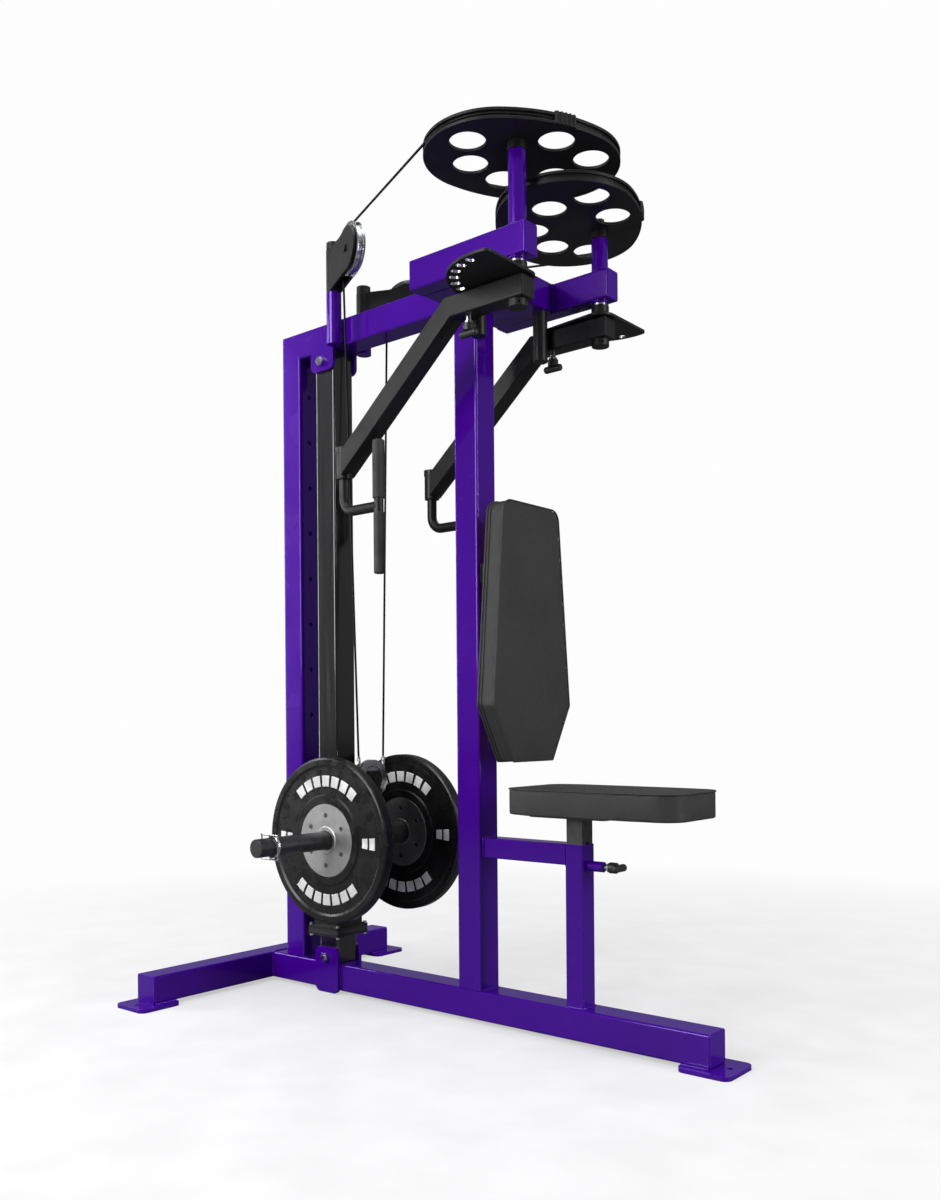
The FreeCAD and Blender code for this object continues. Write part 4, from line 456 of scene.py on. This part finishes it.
def add_tube(mesh, points, radius, closed=False, sides=10):
    """Add a round tube along a path; radius is a number or a function of the distance along it."""
    count = len(points)
    across = None
    distance = 0.0
    rings = []
    for place, point in enumerate(points):
        before = points[place - 1] if place or closed else point
        after = points[(place + 1) % count] if place + 1 < count or closed else point
        along = (after - before).normalized()
        if place:
            distance += (point - points[place - 1]).length
        across = across or along.orthogonal().normalized()
        across = (across - along * across.dot(along)).normalized()
        side = along.cross(across)
        size = radius(distance) if callable(radius) else radius
        ring = []
        for step in range(sides):
            angle = 2 * math.pi * step / sides
            offset = math.cos(angle) * across + math.sin(angle) * side
            ring.append(mesh.verts.new(point + size * offset))
        rings.append(ring)
    loops = list(pairwise(rings))
    if closed:
        loops.append((rings[-1], rings[0]))
    else:
        mesh.faces.new(rings[0][::-1])
        mesh.faces.new(rings[-1])
    for ring, following in loops:
        for step in range(sides):
            after = (step + 1) % sides
            mesh.faces.new((ring[step], ring[after], following[after], following[step]))


def arc(centre, radius, start, end, steps, first, second):
    """Points of an arc about a centre in the plane of two axes; angles in degrees."""
    angles = [math.radians(start + (end - start) * place / steps) for place in range(steps + 1)]
    return [centre + radius * (math.cos(a) * first + math.sin(a) * second) for a in angles]


X, Y, Z = Vector((1, 0, 0)), Vector((0, 1, 0)), Vector((0, 0, 1))


def rounded_loop(centre, half_first, half_second, corner, first, second):
    """A closed rectangle with rounded corners in the plane of two axes."""
    points = []
    for quarter, (a, b) in enumerate(((1, 1), (-1, 1), (-1, -1), (1, -1))):
        middle = (centre + a * (half_first - corner) * first
                  + b * (half_second - corner) * second)
        points += arc(middle, corner, 90 * quarter, 90 * quarter + 90, 4, first, second)
    return points


# ---- weld beads ---------------------------------------------------------------------------

BEAD = 0.0034                # radius of a weld bead
RIPPLE = 0.0042              # distance between two ripples of a bead


def bead_radius(distance):
    """A bead swells at each ripple, and not quite evenly."""
    swell = abs(math.sin(math.pi * distance / RIPPLE))
    drift = noise.noise(Vector((distance * 60.0, 0.0, 0.0)))
    return BEAD * (0.86 + 0.16 * swell + 0.12 * drift)


class Welds:
    """All weld beads of one body in one material, gathered in one piece."""

    def __init__(self, name, slot, body):
        self.name, self.slot, self.body = name, slot, body
        self.mesh = bmesh.new()

    def run(self, points, closed=False):
        """Lay a bead along a path."""
        path = resample(points, RIPPLE / 5, closed)
        add_tube(self.mesh, path, bead_radius, closed, 8)

    def round_tube(self, centre, radius, first=X, second=Y):
        """Lay a bead round a shaft or post."""
        self.run(arc(centre, radius, 0, 350, 35, first, second), closed=True)

    def done(self):
        """Make the piece."""
        finish_piece(self.name, self.mesh, self.slot, self.body)


FOOT_REACH = 0.127           # a foot plate's outer edge to the end of its weld
YOKE_BOX_FRONT = 0.214       # where the yoke's arms leave its cross box
YOKE_BOX_HALF = 0.149
POST_WELD = 0.011            # half the distance between the two beads of a pulley post
SLEEVE_HALF = 0.05           # half the side of the carriage's sleeve
FLANGE_LEVELS = (0.192, 0.594)   # faces of the flanges that the sleeve is welded to
HORN = Vector((-0.329, 0, 0.454))
HORN_COLLAR = 0.0325         # outside radius of a horn's collar tube
BRACKET_HALF = 0.025         # half the side of a back pad bracket
BRACKET_END = 0.03           # end of the pair of brackets to the nearer bracket's middle
BARREL_BEAD = (0.0145, 0.0157)   # where a bead between arm and barrel lies, from the barrel's axis
BARREL_RUN = (0.004, 0.062)      # its ends, above the barrel's foot


def frame_welds():
    """Beads at the joints of the purple frame."""
    welds = Welds("frame_welds", "purple_powder_coat", "frame")
    beam_low, beam_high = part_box("base_main_beam")
    half = beam_high.y
    flat = half - TUBE_CORNER

    for node in ("front_upright", "rear_upright"):
        low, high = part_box(node)
        for x in (low.x, high.x):
            welds.run([(x, -flat, low.z), (x, flat, low.z)])
    low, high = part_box("front_upright")
    for x in (low.x, high.x):
        welds.run([(x, -flat, high.z), (x, flat, high.z)])

    cross_low, cross_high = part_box("base_cross_beam")
    joint = cross_high.x
    for sign in (-1, 1):
        welds.run([(joint, sign * half, beam_low.z + 0.004), (joint, sign * half, beam_high.z)])
    welds.run([(joint, -flat, beam_high.z), (joint, flat, beam_high.z)])

    foot_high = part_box("foot_plates")[1]
    for sign in (-1, 1):
        side = sign * half
        welds.run([(foot_high.x - FOOT_REACH, side, foot_high.z),
                   (beam_high.x, side, foot_high.z)])
        for x in (cross_low.x, cross_high.x):
            welds.run([(x, sign * (foot_high.y - FOOT_REACH), foot_high.z),
                       (x, sign * cross_high.y, foot_high.z)])

    top_low, top_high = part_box("top_beam")
    for sign in (-1, 1):
        welds.run([(top_high.x, sign * half, top_low.z + TUBE_CORNER),
                   (top_high.x, sign * half, top_high.z - TUBE_CORNER)])

    yoke_low, yoke_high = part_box("yoke")
    for sign in (-1, 1):
        welds.run([(YOKE_BOX_FRONT, sign * YOKE_BOX_HALF, yoke_low.z + 0.002),
                   (YOKE_BOX_FRONT, sign * YOKE_BOX_HALF, yoke_high.z - 0.002)])

    sleeves_low, sleeves_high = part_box("shaft_sleeves")
    radius = (sleeves_high.x - sleeves_low.x) / 2
    for side in ("right", "left"):
        shaft = Vector(JOINTS[f"{side}_cam_turn"]["pos_m"])
        for z in (yoke_high.z, yoke_low.z):
            welds.round_tube(Vector((shaft.x, shaft.y, z)), radius)
        post = Vector(JOINTS[f"{side}_pulley_swivel"]["pos_m"])
        at_beam = math.copysign(half + 0.0015, post.y)
        for x in (post.x - POST_WELD, post.x + POST_WELD):
            welds.run([(x, at_beam, top_low.z + 0.008), (x, at_beam, top_high.z - 0.008)])

    brace_low, brace_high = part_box("seat_support_tube")
    brace_z = (brace_low.z + brace_high.z) / 2
    welds.run(rounded_loop(Vector((brace_low.x, 0, brace_z)), brace_high.y, brace_high.z - brace_z,
                           SMALL_CORNER, Y, Z), closed=True)
    seat_flat = brace_high.y - SMALL_CORNER
    welds.run([(brace_high.x, -seat_flat, brace_low.z), (brace_high.x, seat_flat, brace_low.z)])
    post_foot = Vector((brace_high.x + brace_high.y, 0, beam_high.z))
    welds.run(rounded_loop(post_foot, brace_high.y, brace_high.y, SMALL_CORNER, X, Y), closed=True)

    lugs_low, lugs_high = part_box("guide_rail_lugs")
    for sign in (-1, 1):
        for x in (lugs_low.x, lugs_high.x):
            for low_end, high_end in ((beam_low.z + 0.014, beam_high.z - 0.006),
                                      (top_low.z + 0.006, lugs_high.z - 0.02)):
                welds.run([(x, sign * half, low_end), (x, sign * half, high_end)])
    welds.done()


def black_welds():
    """Beads on the arms, carriage and back pad brackets."""
    for side in ("right", "left"):
        pivot = Vector(JOINTS[f"{side}_handle_swivel"]["pos_m"])
        welds = Welds(f"{side}_arm_welds", "black_powder_coat", f"{side}_arm")
        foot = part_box(f"{side}_arm")[0].z
        for sign in (-1, 1):
            x, y = pivot.x + BARREL_BEAD[0], pivot.y + sign * BARREL_BEAD[1]
            welds.run([(x, y, foot + rise) for rise in BARREL_RUN])
        welds.done()

    welds = Welds("carriage_welds", "black_powder_coat", "carriage")
    low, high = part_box("carriage_sleeve")
    for z in FLANGE_LEVELS:
        level = Vector(((low.x + high.x) / 2, 0, z))
        welds.run(rounded_loop(level, SLEEVE_HALF, SLEEVE_HALF, TUBE_CORNER, X, Y), closed=True)
    low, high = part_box("horn_bracket")
    for sign in (-1, 1):
        welds.round_tube(HORN + sign * SLEEVE_HALF * Y, HORN_COLLAR, X, Z)
        welds.run([(low.x, sign * SLEEVE_HALF, low.z), (low.x, sign * SLEEVE_HALF, high.z)])
    welds.done()

    welds = Welds("back_pad_bracket_welds", "black_powder_coat", "frame")
    low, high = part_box("back_pad_brackets")
    for z in (low.z + BRACKET_END, high.z - BRACKET_END):
        for x in (low.x, high.x - 0.006):
            welds.run(rounded_loop(Vector((x, 0, z)), BRACKET_HALF, BRACKET_HALF, SMALL_CORNER,
                                   Y, Z), closed=True)
    welds.done()


# ---- cables -------------------------------------------------------------------------------

LONG_AXIS = math.radians(60)     # direction of the cam oval's long axis at rest
OVAL_CENTRE = Vector((-0.042, 0.078, 0))   # from the shaft, right cam at rest
END_OFFSET = 0.070
CABLE_INSET = 0.0045             # cam rim to cable centre
END_RADIUS = 0.171 - CABLE_INSET     # end arc of the cable's path round the cam
SIDE_RADIUS = 0.381 - CABLE_INSET    # side arc of it
SIDE_OFFSET = math.sqrt((SIDE_RADIUS - END_RADIUS) ** 2 - END_OFFSET ** 2)
RUN_TURN = -23.05                # direction of the right cable run at rest, degrees
STROKE_TURN = 101.2              # how far the cable's contact moves round the cam in a stroke
FERRULE_RISE = 0.03              # a ferrule's foot above the pulley's cable
FERRULE = ((0.0, 0.028, 0.0052), (0.028, 0.034, 0.0044))   # start, end and radius of its steps


def cam_point(normal):
    """Place of the cable on the right cam, from the shaft, where it faces a given direction."""
    angle = (normal - LONG_AXIS) % (2 * math.pi)
    lean = math.atan2(SIDE_OFFSET, END_OFFSET)
    if angle < lean or angle > 2 * math.pi - lean:
        centre, radius = Vector((END_OFFSET, 0, 0)), END_RADIUS
    elif angle < math.pi - lean:
        centre, radius = Vector((0, -SIDE_OFFSET, 0)), SIDE_RADIUS
    elif angle < math.pi + lean:
        centre, radius = Vector((-END_OFFSET, 0, 0)), END_RADIUS
    else:
        centre, radius = Vector((0, SIDE_OFFSET, 0)), SIDE_RADIUS
    place = centre + radius * Vector((math.cos(angle), math.sin(angle), 0))
    return OVAL_CENTRE + Matrix.Rotation(LONG_AXIS, 3, "Z") @ place


def spare_cable(side):
    """The cable that lies in the groove once the arms have been pulled; it turns with the cam."""
    sign = -1 if side == "right" else 1
    shaft = Vector(JOINTS[f"{side}_cam_turn"]["pos_m"])
    low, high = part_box(f"{side}_cable_wrap")
    first = math.radians(RUN_TURN - 90)
    last = first - math.radians(STROKE_TURN)
    steps = 60
    points = []
    for step in range(steps + 1):
        place = cam_point(first + (last - first) * step / steps)
        points.append(Vector((shaft.x + place.x, shaft.y - sign * place.y, (low.z + high.z) / 2)))
    mesh = bmesh.new()
    add_tube(mesh, points, CABLE_RADIUS, sides=12)
    finish_piece(f"{side}_cable_in_groove", mesh, "cable_coat", f"{side}_cam")


def cable_drops():
    """Two straight cable drops from the top pulleys to the carriage's pulley, and the loop under that pulley."""
    pulley = Vector(JOINTS["carriage_sheave_spin"]["pos_m"])
    for side, outward in (("right", -1), ("left", 1)):
        axle = Vector(JOINTS[f"{side}_top_sheave_spin"]["pos_m"])
        post = Vector(JOINTS[f"{side}_pulley_swivel"]["pos_m"])
        reach = Vector((axle.x - post.x, axle.y - post.y, 0)).normalized()
        top = axle - TOP_PITCH * reach
        bottom = pulley + outward * LIFT_PITCH * Y
        mesh = bmesh.new()
        add_tube(mesh, resample((top, bottom), 0.02), CABLE_RADIUS, sides=12)
        drop = finish_piece(f"{side}_cable_drop", mesh, "cable_coat", "frame")
        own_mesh(drop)
        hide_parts("cable_drops")

        mesh = bmesh.new()
        along = (top - bottom).normalized()
        stub = bottom + FERRULE_RISE * along
        for low, high, radius in FERRULE:
            add_tube(mesh, [stub + low * along, stub + high * along], radius, sides=16)
        finish_piece(f"{side}_cable_ferrule", mesh, "zinc_steel", "carriage")
    mesh = bmesh.new()
    add_tube(mesh, arc(pulley, LIFT_PITCH, 180, 360, 40, Y, Z), CABLE_RADIUS, sides=12)
    finish_piece("cable_loop", mesh, "cable_coat", "carriage")


# ---- cushions -----------------------------------------------------------------------------

VOXEL = 0.005                # size of the faces a cushion is remeshed with
CORD = 0.0021                # radius of a seam's cord
RIM_REACH = 0.006            # points this near a pad's outline may be held
SEAM_REACH = 0.0045          # they are held when this near a seam's level
BACK_REACH = 0.004           # all points this near the pad's back are held


def rim_loop(mesh, axis, level):
    """The closed edge of a flat face that looks along an axis at a level, in order."""
    rim = []
    for edge in mesh.edges:
        flat = [abs(face.normal[axis]) > 0.99 for face in edge.link_faces]
        if flat.count(True) == 1 and all(abs(v.co[axis] - level) < 1e-4 for v in edge.verts):
            rim.append(edge)
    first = rim[0].verts[0]
    loop, current, used = [first], first, set()
    while True:
        onward = [edge for edge in rim if current in edge.verts and edge not in used]
        if not onward:
            break
        used.add(onward[0])
        current = onward[0].other_vert(current)
        loop.append(current)
    return [vert.co.copy() for vert in loop[:-1]]


def simulate(piece, pressure, limit):
    """Blow a cushion up as cloth, soften large moves to a limit and keep the result as its mesh."""
    rest = [vert.co.copy() for vert in piece.data.vertices]
    cloth = piece.modifiers.new("puff", "CLOTH")
    cloth.settings.quality = 6
    cloth.settings.use_pressure = True
    cloth.settings.uniform_pressure_force = pressure
    cloth.settings.vertex_group_mass = "held"
    cloth.settings.tension_stiffness = 12
    cloth.settings.compression_stiffness = 12
    cloth.settings.bending_stiffness = 1.5
    cloth.settings.effector_weights.gravity = 0
    cloth.collision_settings.use_collision = False
    for step in range(1, 21):
        scene.frame_set(step)
    view = bpy.context.evaluated_depsgraph_get()
    swollen = bpy.data.meshes.new_from_object(piece.evaluated_get(view), depsgraph=view)
    piece.modifiers.clear()
    for vert, start in zip(swollen.vertices, rest):
        move = vert.co - start
        vert.co = start + limit * math.tanh(move.length / limit) * move.normalized()
    piece.data = swollen
    scene.frame_set(1)


def cushion(name, node, body, axis, back, face, pressure, limit, seams):
    """A simulated pad in a CAD pad's outline, held at its seams and its back.

    axis is the way the pad's thickness runs, back and face the levels of its two faces before it
    swells, pressure what blows it up, limit how far it may swell, and seams the levels of its side
    seams above the back.
    """
    source = bmesh.new()
    source.from_mesh(NODES[node].data)
    bmesh.ops.remove_doubles(source, verts=source.verts, dist=1e-5)
    bmesh.ops.recalc_face_normals(source, faces=source.faces)
    low, high = (corner[axis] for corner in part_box(node))
    outline = rim_loop(source, axis, high)
    stretch = (face - back) / (high - low)
    for vert in source.verts:
        vert.co[axis] = back + (vert.co[axis] - low) * stretch
    data = bpy.data.meshes.new(name)
    source.to_mesh(data)
    source.free()
    piece = bpy.data.objects.new(name, data)
    scene.collection.objects.link(piece)
    remesh = piece.modifiers.new("voxels", "REMESH")
    remesh.mode = "VOXEL"
    remesh.voxel_size = VOXEL
    view = bpy.context.evaluated_depsgraph_get()
    piece.data = bpy.data.meshes.new_from_object(piece.evaluated_get(view), depsgraph=view)
    piece.modifiers.clear()

    side_levels = [back + rise for rise in seams]
    levels = [*side_levels, face]
    held = piece.vertex_groups.new(name="held")
    rim = resample(outline, VOXEL, closed=True)
    lookup = flat_tree(rim, axis)
    for vert in piece.data.vertices:
        near_rim = lookup.find(flattened(vert.co, axis))[2] < RIM_REACH
        at_seam = near_rim and any(abs(vert.co[axis] - level) < SEAM_REACH for level in levels)
        if at_seam or vert.co[axis] < back + BACK_REACH:
            held.add([vert.index], 1.0, "REPLACE")
    simulate(piece, pressure, limit)
    piece.data.polygons.foreach_set("use_smooth", [True] * len(piece.data.polygons))
    smooth = piece.modifiers.new("smooth", "SUBSURF")
    smooth.levels = smooth.render_levels = 1
    piece.data.materials.clear()
    piece.data.materials.append(MATERIALS["vinyl"])
    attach(piece, body)
    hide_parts(node)

    cord = bmesh.new()
    for level in (*side_levels, face - 0.0005):
        path = [point.copy() for point in outline]
        for point in path:
            point[axis] = level
        add_tube(cord, resample(path, 0.004, closed=True), CORD, closed=True)
    finish_piece(f"{name}_seams", cord, "vinyl", body)


def flattened(point, axis):
    """The point with its coordinate along an axis set to zero."""
    spot = point.copy()
    spot[axis] = 0
    return spot


def flat_tree(points, axis):
    """A nearest-point search over points, seen along an axis."""
    tree = KDTree(len(points))
    for place, point in enumerate(points):
        tree.insert(flattened(point, axis), place)
    tree.balance()
    return tree


# ---- weight plates ------------------------------------------------------------------------

def add_block(mesh, inner, outer, start, end, centre, face, lift):
    """Add a raised block that follows an arc on a plate's face; angles in degrees."""
    steps = max(2, round(abs(end - start) / 3))
    columns = []
    for place in range(steps + 1):
        angle = math.radians(start + (end - start) * place / steps)
        out = math.cos(angle) * X + math.sin(angle) * Z
        columns.append([mesh.verts.new(centre + radius * out + (face + rise) * Y)
                        for radius, rise in ((inner, 0), (inner + 0.001, lift),
                                             (outer - 0.001, lift), (outer, 0))])
    for column, following in pairwise(columns):
        for low, high in ((0, 1), (1, 2), (2, 3)):
            mesh.faces.new((column[low], column[high], following[high], following[low]))
        mesh.faces.new((column[3], column[0], following[0], following[3]))
    mesh.faces.new(columns[0])
    mesh.faces.new(columns[-1][::-1])


DASH_RING = (0.146, 0.176)   # inner and outer radius of the long rows of dashes
DASH_PITCH = 12.5            # one dash of a long row to the next, degrees
DASH_HALF = 4.6              # half a dash, degrees
SHORT_RINGS = (0.137, 0.164)     # inner radii of the two dashes at the front and the back
SHORT_LONG = 0.02            # their length along the radius
SHORT_HALF = 5               # half their width, degrees
FACE_INSET = 0.0042          # the dashes' foot below the plate's rim
DASH_RISE = 0.0022           # the dashes' height


def plate_markings():
    """Plain white dashes moulded into both faces of the plates, with no lettering."""
    for side in ("right", "left"):
        low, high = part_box(f"{side}_weight_plate")
        centre = (low + high) / 2
        thick = (high.y - low.y) / 2
        mesh = bmesh.new()
        for outward in (-1, 1):
            face = outward * (thick - FACE_INSET)
            lift = outward * DASH_RISE
            for middle in (90, 270):
                for dash in range(-3, 4):
                    angle = middle + DASH_PITCH * dash
                    add_block(mesh, *DASH_RING, angle - DASH_HALF, angle + DASH_HALF, centre,
                              face, lift)
            for middle in (0, 180):
                for inner in SHORT_RINGS:
                    add_block(mesh, inner, inner + SHORT_LONG, middle - SHORT_HALF,
                              middle + SHORT_HALF, centre, face, lift)
        finish_piece(f"{side}_plate_markings", mesh, "plate_rubber", f"{side}_plate",
                     material="marking", smooth=False)


# ---- small hardware -----------------------------------------------------------------------

def add_socket_screw(mesh, centre, along, radius, depth):
    """Add a set-screw seen end on: a ring with a hexagonal socket."""
    first = along.orthogonal().normalized()
    second = along.cross(first)

    def ring(sides, size, rise):
        return [mesh.verts.new(centre + rise * along + size * (
            math.cos(2 * math.pi * step / sides) * first
            + math.sin(2 * math.pi * step / sides) * second)) for step in range(sides)]

    base = ring(12, radius, -depth)
    rim = ring(12, radius, 0.0)
    lip = ring(12, 0.62 * radius, 0.0)
    floor = ring(12, 0.56 * radius, -0.8 * depth)
    for lower, upper in ((base, rim), (rim, lip), (lip, floor)):
        for step in range(12):
            after = (step + 1) % 12
            mesh.faces.new((lower[step], lower[after], upper[after], upper[step]))
    mesh.faces.new(base[::-1])
    mesh.faces.new(floor)


SCREW_LEVEL = 0.041          # a cam hub's set-screws below the shaft's upper end
SCREW_FACE = 0.0232          # their outer ends from the shaft's axis
SCREW_RADIUS = 0.0036
SCREW_DEPTH = 0.003


def set_screws():
    """Two set-screws in the hub under each cam."""
    for side in ("right", "left"):
        shaft = Vector(JOINTS[f"{side}_cam_turn"]["pos_m"])
        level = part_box(f"{side}_cam_shaft")[1].z - SCREW_LEVEL
        mesh = bmesh.new()
        for turn in (-20, 160):
            out = math.cos(math.radians(turn)) * X + math.sin(math.radians(turn)) * Y
            centre = Vector((shaft.x, shaft.y, level)) + SCREW_FACE * out
            add_socket_screw(mesh, centre, out, SCREW_RADIUS, SCREW_DEPTH)
        finish_piece(f"{side}_hub_set_screws", mesh, "black_powder_coat", f"{side}_cam",
                     smooth=False)


# ---- stage, lights and camera -------------------------------------------------------------

BACKDROP = (0.985, 0.985, 0.99)
FLOOR_RADIUS = 40.0
CAMERA_PLACE = (1.8609, -2.2035, 0.7704)
CAMERA_TURN = 39.49          # degrees about the vertical, from looking along +Y
CAMERA_TILT = 90.066         # degrees from looking straight down
CAMERA_ROLL = -0.46
FOCAL_LENGTH = 32.87         # millimetres, on a sensor 36 mm wide
RISE = 0.101                 # upward shift of the picture, as a share of the sensor


def make_floor():
    """A pale floor that glows like the backdrop far off, and is dim in reflections."""
    mesh = bmesh.new()
    bmesh.ops.create_circle(mesh, cap_ends=True, segments=96, radius=FLOOR_RADIUS)
    data = bpy.data.meshes.new("floor")
    mesh.to_mesh(data)
    mesh.free()
    floor = bpy.data.objects.new("floor", data)
    scene.collection.objects.link(floor)
    finish = Finish("floor", 0.6)
    seen = finish.add("ShaderNodeLightPath").outputs["Is Camera Ray"]
    mottle = finish.remap(finish.noise(5.0, 8.0), 0.0, 1.0, 0.36, 0.62)
    pale = finish.mix(mottle, (0.70, 0.70, 0.71), (0.80, 0.80, 0.81))
    finish.drive("Base Color", finish.mix(seen, (0.16, 0.16, 0.165), pale))
    glow = finish.add("ShaderNodeEmission", Color=(*BACKDROP, 1.0), Strength=1.0)
    distance = finish.tree.nodes.new("ShaderNodeVectorMath")
    distance.operation = "LENGTH"
    finish.tree.links.new(finish.place, distance.inputs[0])
    far = finish.remap(distance.outputs["Value"], 0.5, 1.0, 0.6, 3.2)
    share = finish.tree.nodes.new("ShaderNodeMath")
    share.operation = "MULTIPLY"
    finish.tree.links.new(far, share.inputs[0])
    finish.tree.links.new(seen, share.inputs[1])
    blend = finish.add("ShaderNodeMixShader", Fac=share.outputs["Value"])
    finish.tree.links.new(finish.shader.outputs["BSDF"], blend.inputs[1])
    finish.tree.links.new(glow.outputs["Emission"], blend.inputs[2])
    output = finish.tree.nodes["Material Output"]
    finish.tree.links.new(blend.outputs["Shader"], output.inputs["Surface"])
    data.materials.append(finish.done())


def make_world():
    """A white room as the camera sees it, and a much dimmer one in reflections and shadows."""
    world = bpy.data.worlds.new("studio")
    world.use_nodes = True
    world.cycles.sampling_method = "NONE"
    tree = world.node_tree
    seen = tree.nodes["Background"]
    seen.inputs["Color"].default_value = (*BACKDROP, 1.0)
    room = tree.nodes.new("ShaderNodeBackground")
    room.inputs["Color"].default_value = (0.22, 0.22, 0.23, 1.0)
    path = tree.nodes.new("ShaderNodeLightPath")
    blend = tree.nodes.new("ShaderNodeMixShader")
    tree.links.new(path.outputs["Is Camera Ray"], blend.inputs["Fac"])
    tree.links.new(room.outputs["Background"], blend.inputs[1])
    tree.links.new(seen.outputs["Background"], blend.inputs[2])
    tree.links.new(blend.outputs["Shader"], tree.nodes["World Output"].inputs["Surface"])
    scene.world = world


def area_light(name, place, target, width, height, power):
    """A soft rectangular light aimed at a point."""
    data = bpy.data.lights.new(name, "AREA")
    data.shape = "RECTANGLE"
    data.size, data.size_y = width, height
    data.energy = power
    light = bpy.data.objects.new(name, data)
    light.location = place
    aim = Vector(target) - Vector(place)
    light.rotation_euler = aim.to_track_quat("-Z", "Y").to_euler()
    scene.collection.objects.link(light)


def make_lights():
    """Soft studio light: a key from the camera's left, an overhead panel and two strips."""
    middle = (0.0, 0.0, 1.1)
    area_light("key", (-0.9, -4.2, 2.4), middle, 2.2, 2.6, 165.0)
    area_light("overhead", (0.3, -0.4, 4.6), middle, 3.2, 3.2, 105.0)
    area_light("strip_rear", (-3.4, -1.6, 1.7), middle, 0.4, 2.8, 60.0)
    area_light("strip_front", (3.9, 0.6, 1.7), middle, 0.5, 2.8, 90.0)
    scene.view_settings.view_transform = "Standard"


def make_camera():
    """The camera stands in front and to the right of the machine, a little below mid height."""
    data = bpy.data.cameras.new("camera")
    data.sensor_width = 36.0
    data.lens = FOCAL_LENGTH
    data.shift_y = RISE
    camera = bpy.data.objects.new("camera", data)
    turn = Matrix.Rotation(math.radians(CAMERA_TURN), 4, "Z")
    tilt = Matrix.Rotation(math.radians(CAMERA_TILT), 4, "X")
    roll = Matrix.Rotation(math.radians(CAMERA_ROLL), 4, "Z")
    camera.matrix_world = Matrix.Translation(CAMERA_PLACE) @ turn @ tilt @ roll
    scene.collection.objects.link(camera)
    scene.camera = camera


paint_nodes()
frame_welds()
black_welds()
for machine_side in ("right", "left"):
    spare_cable(machine_side)
cable_drops()
cushion("back_cushion", "back_pad", "frame", 0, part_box("back_pad_board")[0].x + 0.001,
        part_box("back_pad")[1].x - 0.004, 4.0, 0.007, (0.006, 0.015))
cushion("seat_cushion", "seat_pad", "seat", 2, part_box("seat_pad")[0].z,
        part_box("seat_pad")[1].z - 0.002, 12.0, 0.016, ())
plate_markings()
set_screws()
make_floor()
make_world()
make_lights()
make_camera()
